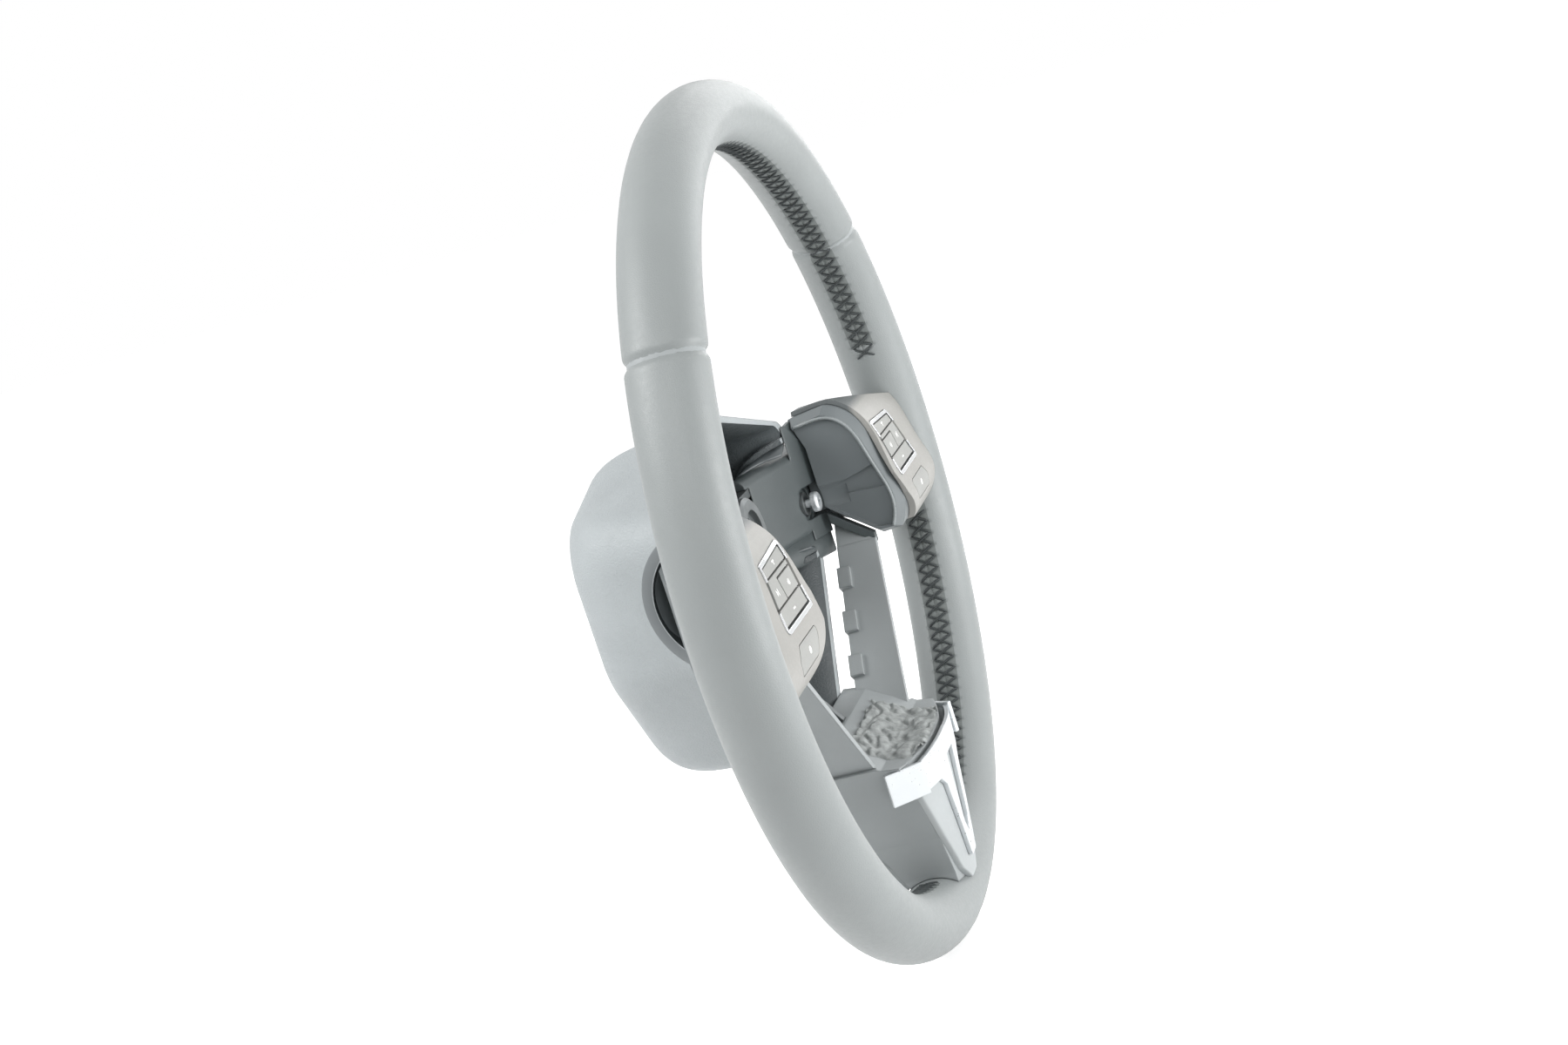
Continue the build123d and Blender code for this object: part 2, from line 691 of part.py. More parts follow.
def spoke_trim():
    """The silver T: a bar across the spoke, a stem with a long slot, and two side returns."""
    top = spoke_top_z + 1
    low = spoke_top_z - trim_bar_height
    h = trim_stem_half_width
    side = [(38.4, top - 1), (37.2, low + 1), (h + 5, low), (h, low - 4), (4.5, trim_tip_z)]
    points = [(0, top + 1.0)] + side + [(-x, z) for x, z in reversed(side)]
    s = trim_slot_half_width
    slot = [(s, trim_slot_top_z), (s - 2.5, trim_slot_tip_z + 6), (0, trim_slot_tip_z)]
    slot = slot + [(-x, z) for x, z in reversed(slot[:2])]
    face = face_xz(points, 1.0) - face_xz(slot, 1.2)
    plate = prism_y(face, -60, 20) & crown_band(-trim_thickness, 0)
    return plate + trim_returns(0)


def lower_spoke_cover():
    """The light shield under the trim, which runs to a tip on the rim."""
    top = spoke_top_z - 0.5
    points = [(34.5, top), (34.5, -117), (20, -139), (10.5, -158), (3.5, -167)]
    face = face_xz(points + [(-x, z) for x, z in reversed(points)], 1.0)
    shield = prism_y(face, -60, 20) & crown_band(glue_gap, glue_gap + spoke_cover_thickness)
    shield -= grip(fixed_clearance)
    return largest(shield)


def hub_surround():
    """One moulding: the V-shaped walls with their tabs, the ledge between them and the lower spoke."""
    top, low, slant = wall_top_z, wall_low_z, wall_thickness * 1.3
    wall = face_xz([(wall_top_x, top), (wall_low_x, low), (wall_low_x - slant, low), (wall_top_x - slant, top)])
    edge = [(wall_front_top_y, top), (wall_front_low_y, low), (wall_back_y, low), (wall_back_y, top)]
    side_view = make_face(Polyline(*[(0, y, z) for y, z in edge], close=True))
    slice_room = extrude(side_view, amount=110, both=True)
    right = prism_y(wall, -40, 60) & slice_room
    lean = (wall_top_x - wall_low_x) / (top - low)
    for z in tab_heights:
        x = wall_low_x + lean * (z - low) - slant
        tab = Rot(0, -52, 0) * Box(tab_size, tab_width, 2 * tab_proud)
        right += Pos(x, wall_back_y - tab_width / 2 + 0.8, z) * tab
    rise = ledge_back_z + 4 - low
    filling = face_xz([(wall_low_x, low), (wall_low_x + lean * rise, low + rise), (-wall_low_x - lean * rise, low + rise),
                       (-wall_low_x, low)])
    ledge_line = [(-30, spoke_top_z - 0.5), (wall_front_low_y - 3, low), (8, -94), (20, ledge_back_z - 1),
                  (ledge_back_y, ledge_back_z), (ledge_back_y, -112), (10, -161), (-4, -rim_radius),
                  (-30, -rim_radius)]
    ledge_view = make_face(Polyline(*[(0, y, z) for y, z in ledge_line], close=True))
    ledge_room = extrude(ledge_view, amount=110, both=True)
    body = prism_y(face_xz(spoke_outline(0)), -40, 60) + prism_y(filling, -40, 60)
    body &= ledge_room
    body = body + right + mirrored(right)
    shield_room = crown(spoke_top_z + 12, -rim_radius, spoke_cover_thickness + 2 * glue_gap)
    body -= shield_room & block((-60, 60), (-60, 60), (-200, spoke_top_z + 2 + fixed_clearance))
    body -= trim_returns(glue_gap)
    body -= grip(fixed_clearance)
    body -= lower_arm(insert_clearance)
    return largest(body)


# Names and files
def all_pieces():
    """Every node by name, drawn about the middle of the rim."""
    pieces = {
        "armature": armature(),
        "rim_ring": rim_ring(),
        "rim_foam": rim_foam(),
        "leather_upper": leather_upper(),
        "leather_lower": leather_lower(),
        "hub_surround": hub_surround(),
        "lower_spoke_cover": lower_spoke_cover(),
        "spoke_trim": spoke_trim(),
        "rear_cover": rear_cover(),
        "rear_cover_screws": rear_cover_screws(),
    }
    right_hand = {
        "spoke_foam": spoke_foam(),
        "pod_carrier": pod_carrier(),
        "pod_bezel": pod_bezel(),
        "key_frame": key_frame(),
        "switch_board": switch_board(),
        "pod_screw": pod_screw(),
        "airbag_spring": airbag_spring(),
    }
    for name in stem_places:
        right_hand[name] = key(name)
    for name, shape in right_hand.items():
        pieces["right_" + name] = shape
        pieces["left_" + name] = mirrored(shape)
    return pieces


os.makedirs("parts", exist_ok=True)
for name, shape in all_pieces().items():
    export_step(Pos(0, -bore_y, 0) * shape, "parts/" + name + ".step")
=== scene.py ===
import bmesh
import bpy
import json
import logging
import math
from dataclasses import dataclass, field
from enum import Enum
from typing import Optional, Sequence

from mathutils import Matrix, Vector, noise

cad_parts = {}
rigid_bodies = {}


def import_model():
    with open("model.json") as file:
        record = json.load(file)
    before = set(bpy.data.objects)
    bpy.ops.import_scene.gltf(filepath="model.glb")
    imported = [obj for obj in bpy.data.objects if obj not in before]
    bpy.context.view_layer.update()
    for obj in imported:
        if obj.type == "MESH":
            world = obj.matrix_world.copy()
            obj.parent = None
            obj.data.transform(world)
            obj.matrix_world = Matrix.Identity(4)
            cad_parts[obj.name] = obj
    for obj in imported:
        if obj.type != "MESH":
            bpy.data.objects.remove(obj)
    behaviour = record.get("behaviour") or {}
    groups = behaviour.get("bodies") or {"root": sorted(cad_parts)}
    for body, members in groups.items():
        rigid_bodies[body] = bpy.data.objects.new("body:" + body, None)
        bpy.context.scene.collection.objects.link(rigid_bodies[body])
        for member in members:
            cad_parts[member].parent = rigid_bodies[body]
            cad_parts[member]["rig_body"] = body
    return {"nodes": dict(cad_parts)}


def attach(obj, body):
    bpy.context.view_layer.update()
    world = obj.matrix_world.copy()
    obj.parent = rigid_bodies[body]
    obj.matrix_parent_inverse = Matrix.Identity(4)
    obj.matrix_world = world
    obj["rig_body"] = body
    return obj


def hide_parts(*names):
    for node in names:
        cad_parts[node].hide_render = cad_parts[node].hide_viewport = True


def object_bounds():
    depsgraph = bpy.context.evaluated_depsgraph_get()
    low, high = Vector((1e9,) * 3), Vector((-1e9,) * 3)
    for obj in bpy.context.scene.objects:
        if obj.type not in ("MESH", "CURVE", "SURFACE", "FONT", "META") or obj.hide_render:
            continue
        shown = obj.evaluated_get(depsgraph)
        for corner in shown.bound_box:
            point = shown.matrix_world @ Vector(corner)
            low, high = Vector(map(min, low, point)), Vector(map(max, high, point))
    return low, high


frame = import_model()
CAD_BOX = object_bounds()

logging.basicConfig(level=logging.INFO, format="%(message)s")
LOG = logging.getLogger("steering_wheel")

MM = 0.001
# The row's origin is the column bore, which lies this far behind the middle of the rim.
BORE_Y = 55.0
WHEEL = "wheel"
# Width in pixels of the photograph, which the focal length is measured in.
PHOTO_WIDTH = 1800
# A depth in front of every piece.
FRONT_OF_ALL = -120.0
# Nearly all values of a noise texture lie between these two.
NOISE_LOW, NOISE_HIGH = 0.3, 0.7
# Rays by which a rounded edge is felt for, and the size of uneven roughness in grains.
EDGE_SAMPLES = 4
ROUGH_GRAINS = 4


# Units, colour and nodes
def at(x: float, y: float, z: float) -> Vector:
    """A place given in millimetres from the middle of the rim, in the row's frame in metres.

    Args:
        x: towards the driver's right.
        y: towards the column.
        z: up.

    Returns:
        The same place in metres from the column bore.
    """
    return Vector((x * MM, (y - BORE_Y) * MM, z * MM))


def srgb(code: str) -> tuple[float, float, float, float]:
    """A hex colour as written on a paint card, turned to the linear values that shaders use.

    Args:
        code: six hex digits, with or without a leading mark.

    Returns:
        Linear red, green, blue and an alpha of 1.
    """
    digits = code.lstrip("#")
    values = [int(digits[i:i + 2], 16) / 255 for i in (0, 2, 4)]
    linear = [v / 12.92 if v <= 0.04045 else ((v + 0.055) / 1.055) ** 2.4 for v in values]
    return (linear[0], linear[1], linear[2], 1.0)


def add_node(tree: bpy.types.NodeTree, kind: str, settings: Optional[dict] = None,
             links: Optional[dict] = None) -> bpy.types.Node:
    """Adds one shader node.

    Args:
        tree: the material's or world's node tree.
        kind: the node's type name.
        settings: values by attribute name or by input socket name.
        links: output sockets by the name or index of the input they feed.

    Returns:
        The new node.
    """
    node = tree.nodes.new(kind)
    for key, value in (settings or {}).items():
        if isinstance(key, int) or key in node.inputs:
            node.inputs[key].default_value = value
        else:
            setattr(node, key, value)
    for key, socket in (links or {}).items():
        tree.links.new(socket, node.inputs[key])
    return node


# Finishes
@dataclass(frozen=True)
class Finish:
    """What a surface is made of and how its skin was formed.

    The fine pattern is a noise of two scales, both real sizes in millimetres: a grain that the
    tool or the hide leaves, and a slow unevenness of tone.
    """

    name: str
    colour: str
    roughness: float
    metallic: float = 0.0
    grain_mm: float = 0.9
    grain_height_mm: float = 0.03
    tone_mm: float = 40.0
    tone_spread: float = 0.06
    roughness_spread: float = 0.06
    specular: float = 0.5
    sheen: float = 0.0
    coat: float = 0.0
    edge_mm: float = 0.0

    def make(self) -> bpy.types.Material:
        """Builds the material, or returns it if it is there already."""
        found = bpy.data.materials.get(self.name)
        if found:
            return found
        material = bpy.data.materials.new(self.name)
        material.use_nodes = True
        tree = material.node_tree
        tree.nodes.clear()
        place = add_node(tree, "ShaderNodeTexCoord").outputs["Object"]
        shader = self.shader(tree, place)
        add_node(tree, "ShaderNodeOutputMaterial", links={"Surface": shader.outputs[0]})
        return material

    def shader(self, tree: bpy.types.NodeTree, place: bpy.types.NodeSocket) -> bpy.types.Node:
        """Builds the surface shader.

        Args:
            tree: the material's node tree.
            place: object coordinates in metres.

        Returns:
            The principled shader, with colour, roughness and bump linked.
        """
        colour = self.colour_socket(tree, place)
        rough = self.roughness_socket(tree, place)
        height = self.height_socket(tree, place)
        bump = add_node(tree, "ShaderNodeBump", {"Strength": 1.0, "Distance": self.grain_height_mm * MM},
                        {"Height": height})
        if self.edge_mm > 0:
            worn = add_node(tree, "ShaderNodeBevel", {"samples": EDGE_SAMPLES, "Radius": self.edge_mm * MM})
            tree.links.new(worn.outputs[0], bump.inputs["Normal"])
        settings = {"Metallic": self.metallic, "Specular IOR Level": self.specular,
                    "Sheen Weight": self.sheen, "Coat Weight": self.coat}
        return add_node(tree, "ShaderNodeBsdfPrincipled", settings,
                        {"Base Color": colour, "Roughness": rough, "Normal": bump.outputs[0]})

    def noise(self, tree: bpy.types.NodeTree, place: bpy.types.NodeSocket, size_mm: float,
              detail: float = 3.0) -> bpy.types.NodeSocket:
        """A noise whose features are about a given size.

        Args:
            tree: the node tree.
            place: coordinates in metres.
            size_mm: feature size in millimetres.
            detail: octaves of finer noise.

        Returns:
            The noise's value socket.
        """
        scale = 1.0 / (size_mm * MM)
        node = add_node(tree, "ShaderNodeTexNoise", {"Scale": scale, "Detail": detail}, {"Vector": place})
        return node.outputs[0]

    def shade(self, factor: float) -> tuple[float, float, float, float]:
        """The finish's colour made lighter or darker by a factor."""
        base = srgb(self.colour)
        return tuple(min(1.0, c * factor) for c in base[:3]) + (1.0,)

    def colour_socket(self, tree: bpy.types.NodeTree, place: bpy.types.NodeSocket) -> bpy.types.NodeSocket:
        """The base colour, with slow unevenness of tone."""
        slow = self.noise(tree, place, self.tone_mm)
        ramp = add_node(tree, "ShaderNodeValToRGB", links={"Fac": slow})
        ends = ((NOISE_LOW, 1.0 - self.tone_spread), (NOISE_HIGH, 1.0 + self.tone_spread))
        for element, (position, factor) in zip(ramp.color_ramp.elements, ends):
            element.position = position
            element.color = self.shade(factor)
        return ramp.outputs[0]

    def roughness_socket(self, tree: bpy.types.NodeTree, place: bpy.types.NodeSocket) -> bpy.types.NodeSocket:
        """The roughness, a little uneven over a few grains."""
        fine = self.noise(tree, place, self.grain_mm * ROUGH_GRAINS)
        spread = {"From Min": NOISE_LOW, "From Max": NOISE_HIGH,
                  "To Min": self.roughness - self.roughness_spread,
                  "To Max": self.roughness + self.roughness_spread}
        return add_node(tree, "ShaderNodeMapRange", spread, {"Value": fine}).outputs[0]

    def height_socket(self, tree: bpy.types.NodeTree, place: bpy.types.NodeSocket) -> bpy.types.NodeSocket:
        """The height of the fine grain."""
        return self.noise(tree, place, self.grain_mm)


@dataclass(frozen=True)
class GrainedFinish(Finish):
    """A skin with the pebbled cells of leather or of a leather-grained tool."""

    cell_mm: float = 1.4
    # How far the cells wander and over what size, the crease's width and the fine noise, in cells or grains.
    wander: float = 0.9
    wander_size: float = 3.0
    crease: float = 0.22
    fine_size: float = 0.4
    fine_height: float = 0.25

    def height_socket(self, tree: bpy.types.NodeTree, place: bpy.types.NodeSocket) -> bpy.types.NodeSocket:
        """Rounded cells with narrow creases between them, roughened a little."""
        cell = self.cell_mm * MM
        slow = add_node(tree, "ShaderNodeTexNoise", {"Scale": 1 / (self.wander_size * cell)},
                        {"Vector": place})
        shift = add_node(tree, "ShaderNodeVectorMath", {"operation": "SCALE", "Scale": self.wander * cell},
                         {0: slow.outputs["Color"]})
        moved = add_node(tree, "ShaderNodeVectorMath", {"operation": "ADD"}, {0: place, 1: shift.outputs[0]})
        cells = add_node(tree, "ShaderNodeTexVoronoi", {"feature": "DISTANCE_TO_EDGE", "Scale": 1 / cell},
                         {"Vector": moved.outputs[0]})
        creased = add_node(tree, "ShaderNodeMapRange", {"From Max": self.crease},
                           {"Value": cells.outputs["Distance"]})
        fine = self.noise(tree, place, self.grain_mm * self.fine_size)
        total = add_node(tree, "ShaderNodeMath", {"operation": "MULTIPLY_ADD", 1: self.fine_height},
                         {0: fine, 2: creased.outputs[0]})
        return total.outputs[0]


@dataclass(frozen=True)
class BrushedFinish(Finish):
    """A plated or drawn metal whose skin carries fine lines along one direction."""

    stretch: tuple[float, float, float] = (1.0, 1.0, 14.0)

    def height_socket(self, tree: bpy.types.NodeTree, place: bpy.types.NodeSocket) -> bpy.types.NodeSocket:
        """Lines a fraction of a millimetre wide and some millimetres long."""
        scale = tuple(1 / s for s in self.stretch)
        scaled = add_node(tree, "ShaderNodeMapping", {"Scale": scale}, {"Vector": place})
        return self.noise(tree, scaled.outputs[0], self.grain_mm)


@dataclass(frozen=True)
class ShadedHollowFinish(GrainedFinish):
    """A moulded bowl whose inside is painted dark as shade."""

    # The inside's colour: painted shade for the hollow of the bowl.
    inside: str = "#3E4446"
    middle_mm: tuple[float, float, float] = (0.0, 50.0, -14.0)
    fade_mm: float = 2.0

    def colour_socket(self, tree: bpy.types.NodeTree, place: bpy.types.NodeSocket) -> bpy.types.NodeSocket:
        """The outer colour where the surface faces away from the bowl's middle, else the darker inside colour
        as painted shade.
        """
        facing = add_node(tree, "ShaderNodeTexCoord").outputs["Normal"]
        from_middle = add_node(tree, "ShaderNodeVectorMath",
                               {"operation": "SUBTRACT", 1: at(*self.middle_mm)}, {0: place})
        outward = add_node(tree, "ShaderNodeVectorMath", {"operation": "DOT_PRODUCT"},
                           {0: facing, 1: from_middle.outputs[0]})
        share = add_node(tree, "ShaderNodeMapRange",
                         {"From Min": -self.fade_mm * MM, "From Max": self.fade_mm * MM},
                         {"Value": outward.outputs["Value"]})
        mixed = add_node(tree, "ShaderNodeMix", {"data_type": "RGBA", 6: srgb(self.inside)},
                         {0: share.outputs[0], 7: GrainedFinish.colour_socket(self, tree, place)})
        return mixed.outputs[2]


@dataclass(frozen=True)
class BezelFinish(Finish):
    """A painted shell whose top and flank behind the painted front keep the dark base colour."""

    flank: str = "#626768"
    paint_full_mm: float = -0.5
    paint_end_mm: float = 2.5

    def colour_socket(self, tree: bpy.types.NodeTree, place: bpy.types.NodeSocket) -> bpy.types.NodeSocket:
        """The paint over the front, fading out with depth behind it."""
        depth = add_node(tree, "ShaderNodeSeparateXYZ", links={0: place})
        fade = {"From Min": at(0, self.paint_full_mm, 0).y, "From Max": at(0, self.paint_end_mm, 0).y}
        share = add_node(tree, "ShaderNodeMapRange", fade, {"Value": depth.outputs[1]})
        mixed = add_node(tree, "ShaderNodeMix", {"data_type": "RGBA", 7: srgb(self.flank)},
                         {0: share.outputs[0], 6: Finish.colour_socket(self, tree, place)})
        return mixed.outputs[2]


class Finishes:
    """Every finish of the wheel, named for its material, how its skin was made, and any painted shade or
    highlight.
    """

    # Smooth top-coated leather: a soft satin with pores too fine to see from a step away, drawn coarser.
    leather = GrainedFinish("leather_fine_grain_top_coated", "#8F9494", 0.46, grain_mm=0.5,
                            grain_height_mm=0.03, tone_mm=60, tone_spread=0.05, cell_mm=0.9, sheen=0.06,
                            specular=0.6)
    # The same leather where the sewn joint pulls it tight, painted darker as shade in the joint's hollows.
    joint = GrainedFinish("leather_at_sewn_joint", "#737877", 0.6, grain_mm=0.5, grain_height_mm=0.03,
                          cell_mm=0.9)
    # Bonded polyester thread, charcoal, matt.
    thread = Finish("polyester_thread_bonded", "#3C4142", 0.75, grain_mm=0.4, grain_height_mm=0.05, tone_mm=5)
    # Polyurethane moulded against a grained tool: matt, faintly cellular.
    foam = Finish("polyurethane_foam_moulded", "#A0A5A6", 0.6, grain_mm=0.7, grain_height_mm=0.04,
                  edge_mm=1.2)
    # The darker foam round the side spokes.
    spoke_foam = Finish("polyurethane_foam_dark_moulded", "#4E5556", 0.42, grain_mm=0.6, grain_height_mm=0.03,
                        edge_mm=1.0)
    # The raw foam where the skin is open, wrinkled and dull.
    raw_foam = Finish("polyurethane_foam_raw_skin", "#9CA09F", 0.85, grain_mm=0.9, grain_height_mm=0.2,
                      tone_mm=3, tone_spread=0.25)
    # ABS with a leather-like grain from the tool, its inside smooth and painted dark as shade.
    cover = ShadedHollowFinish("abs_leather_grained", "#A9AFB1", 0.5, grain_mm=0.7, grain_height_mm=0.08,
                         cell_mm=1.5, edge_mm=1.0)
    # The same ABS, smooth and painted dark as shade, as on the cover's inside.
    inner = Finish("abs_bare_smooth_dark", "#5A6062", 0.4, grain_mm=0.5, grain_height_mm=0.01)
    # The smooth band that leads into the cover's release cut-out, painted darker than the cover as the shade
    # of its recess.
    flank = Finish("abs_smooth_satin", "#74797B", 0.42, grain_mm=0.5, grain_height_mm=0.01)
    # Dark ABS with a fine spark-eroded texture.
    dark = Finish("abs_spark_textured_dark", "#707678", 0.42, grain_mm=0.35, grain_height_mm=0.02,
                  edge_mm=0.5)
    # The same plastic on the pod's lip, painted lighter as a highlight where the rib catches the light.
    lip = Finish("abs_dark_polished_lip", "#8E9495", 0.3, grain_mm=0.35, grain_height_mm=0.008)
    # Painted ABS, warm light grey, silky.
    bezel = BezelFinish("abs_painted_warm_grey", "#9B9A96", 0.45, grain_mm=0.3, grain_height_mm=0.01,
                        edge_mm=0.6)
    key = Finish("abs_soft_touch_painted", "#9C9D9A", 0.55, grain_mm=0.3, grain_height_mm=0.012, edge_mm=0.35)
    light = Finish("polycarbonate_blend_moulded_grey", "#B0B5B6", 0.5, grain_mm=0.5, grain_height_mm=0.02,
                   edge_mm=0.4)
    # Bright chrome plate on plastic.
    chrome = Finish("chrome_plate_bright", "#E2E4E6", 0.12, metallic=1.0, grain_mm=2.0,
                    grain_height_mm=0.001, edge_mm=0.3)
    # Silver metallic lacquer over moulded plastic.
    satin = Finish("silver_metallic_lacquer", "#D3D7D9", 0.3, metallic=0.6, grain_mm=0.5,
                   grain_height_mm=0.0006, roughness_spread=0.03, edge_mm=0.8)
    # Die-cast magnesium alloy, dull grey with cast skin.
    cast = Finish("magnesium_die_cast", "#7E8283", 0.48, metallic=0.85, grain_mm=1.2, grain_height_mm=0.06,
                  tone_mm=12, tone_spread=0.15, edge_mm=0.6)
    # Bare steel tube, hidden under the foam.
    steel = Finish("steel_tube_bare", "#8C8F90", 0.4, metallic=1.0, grain_mm=0.5, grain_height_mm=0.01)
    zinc = Finish("steel_zinc_plated", "#E3E7E9", 0.38, metallic=0.75, grain_mm=0.4, grain_height_mm=0.004,
                  edge_mm=0.25)
    wire = BrushedFinish("spring_steel_drawn", "#B9BDBF", 0.3, metallic=1.0, grain_mm=0.4,
                         grain_height_mm=0.01)
    board = Finish("glass_epoxy_solder_mask", "#1F5B40", 0.35, grain_mm=0.8, grain_height_mm=0.01)
    ink = Finish("pad_print_white", "#F4F4F2", 0.6, grain_mm=0.3, grain_height_mm=0.005, tone_spread=0.02)


NODE_FINISHES: dict[str, Finish] = {
    "armature": Finishes.cast,
    "rim_ring": Finishes.steel,
    "rim_foam": Finishes.foam,
    "spoke_foam": Finishes.spoke_foam,
    "leather_upper": Finishes.leather,
    "leather_lower": Finishes.leather,
    "hub_surround": Finishes.foam,
    "lower_spoke_cover": Finishes.light,
    "spoke_trim": Finishes.satin,
    "rear_cover": Finishes.cover,
    "rear_cover_screws": Finishes.zinc,
    "pod_carrier": Finishes.dark,
    "pod_bezel": Finishes.bezel,
    "key_frame": Finishes.chrome,
    "switch_board": Finishes.board,
    "pod_screw": Finishes.zinc,
    "airbag_spring": Finishes.wire,
    "key_top": Finishes.key,
    "key_bottom": Finishes.key,
    "key_outer": Finishes.key,
    "key_inner": Finishes.key,
    "key_lower": Finishes.key,
}


def plain_name(node: str) -> str:
    """A node's name without the side it stands on."""
    for side in ("right_", "left_"):
        if node.startswith(side):
            return node[len(side):]
    return node


def dress_cad_nodes() -> None:
    """Gives every CAD node its finish."""
    for name, piece in frame["nodes"].items():
        finish = NODE_FINISHES[plain_name(name)]
        piece.data.materials.clear()
        piece.data.materials.append(finish.make())
        LOG.info("finish %s on %s", finish.name, name)


# Meshes
def link_object(name: str, data: bpy.types.ID) -> bpy.types.Object:
    """Makes an object round its data and links it to the scene."""
    thing = bpy.data.objects.new(name, data)
    bpy.context.scene.collection.objects.link(thing)
    return thing


def loft_faces(rows: int, columns: int, closed: bool = False, capped: bool = False, turned: bool = False,
               first: int = 0) -> list[tuple[int, ...]]:
    """Faces over rows of vertices that were laid down one row after another.

    Args:
        rows: how many rows.
        columns: vertices in each row.
        closed: whether each row closes on itself.
        capped: whether the first and the last row get an end face.
        turned: whether the faces look the other way.
        first: index of the first vertex.

    Returns:
        Vertex indices of each face, row by row, and the caps last.
    """
    faces: list[tuple[int, ...]] = []
    for row in range(rows - 1):
        for k in range(columns if closed else columns - 1):
            a = first + row * columns + k
            b = first + row * columns + (k + 1) % columns
            faces.append((a, b, b + columns, a + columns))
    if capped:
        last = first + (rows - 1) * columns
        faces.append(tuple(first + k for k in range(columns))[::-1])
        faces.append(tuple(last + k for k in range(columns)))
    return [face[::-1] for face in faces] if turned else faces


def mesh_piece(name: str, vertices: Sequence[Vector], faces: Sequence[Sequence[int]],
               finishes: Sequence[Finish], like: str, which: Optional[Sequence[int]] = None,
               smooth: bool = True, body: str = WHEEL) -> bpy.types.Object:
    """Makes a piece from vertices and faces, dresses it and lets it ride.

    Args:
        name: the piece's name.
        vertices: places in metres.
        faces: vertex indices of each face.
        finishes: the piece's finishes, in slot order.
        like: the name of the CAD node that the piece goes with; not used.
        which: for each face the index of its finish, if there is more than one.
        smooth: whether faces are shaded smooth.
        body: the body that carries the piece.

    Returns:
        The new object.
    """
    mesh = bpy.data.meshes.new(name)
    mesh.from_pydata([tuple(v) for v in vertices], [], [tuple(f) for f in faces])
    mesh.polygons.foreach_set("use_smooth", [smooth] * len(mesh.polygons))
    for finish in finishes:
        mesh.materials.append(finish.make())
    if which is not None:
        mesh.polygons.foreach_set("material_index", list(which))
    mesh.validate()
    mesh.update()
    piece = link_object(name, mesh)
    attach(piece, body)
    LOG.info("piece %s: %d faces", name, len(mesh.polygons))
    return piece


def ease(value: float) -> float:
    """A smooth step from 0 to 1, flat at both ends."""
    v = max(0.0, min(1.0, value))
    return v * v * (3 - 2 * v)


def between(table: Sequence[tuple[float, float]], key: float) -> float:
    """A value read from a table by straight interpolation.

    Args:
        table: pairs of key and value, keys rising.
        key: where to read.

    Returns:
        The value there, held at the ends.
    """
    for (k0, v0), (k1, v1) in zip(table, table[1:]):
        if key <= k1:
            share = max(0.0, (key - k0) / (k1 - k0))
            return v0 + (v1 - v0) * share
    return table[-1][1]


def even_steps(low: float, high: float, step: float) -> list[float]:
    """Even steps from low to high, at about the given spacing."""
    count = max(2, round((high - low) / step))
    return [low + (high - low) * i / count for i in range(count + 1)]


@dataclass
class Tube:
    """Round thread or wire built along many short paths into one mesh."""

    radius_mm: float
    sides: int = 6
    vertices: list[Vector] = field(default_factory=list)
    faces: list[tuple[int, ...]] = field(default_factory=list)

    def add(self, path: Sequence[Vector], out: Sequence[Vector]) -> None:
        """Adds one closed-ended tube.

        Args:
            path: points of the middle line, in metres.
            out: for each point a direction that the section's first spoke leans to.
        """
        first = len(self.vertices)
        count = len(path)
        for i, point in enumerate(path):
            ahead = (path[min(i + 1, count - 1)] - path[max(i - 1, 0)]).normalized()
            side = ahead.cross(out[i]).normalized()
            up = side.cross(ahead)
            for k in range(self.sides):
                turn = 2 * math.pi * k / self.sides
                spoke = math.cos(turn) * up + math.sin(turn) * side
                self.vertices.append(point + spoke * (self.radius_mm * MM))
        self.faces += loft_faces(count, self.sides, closed=True, capped=True, first=first)


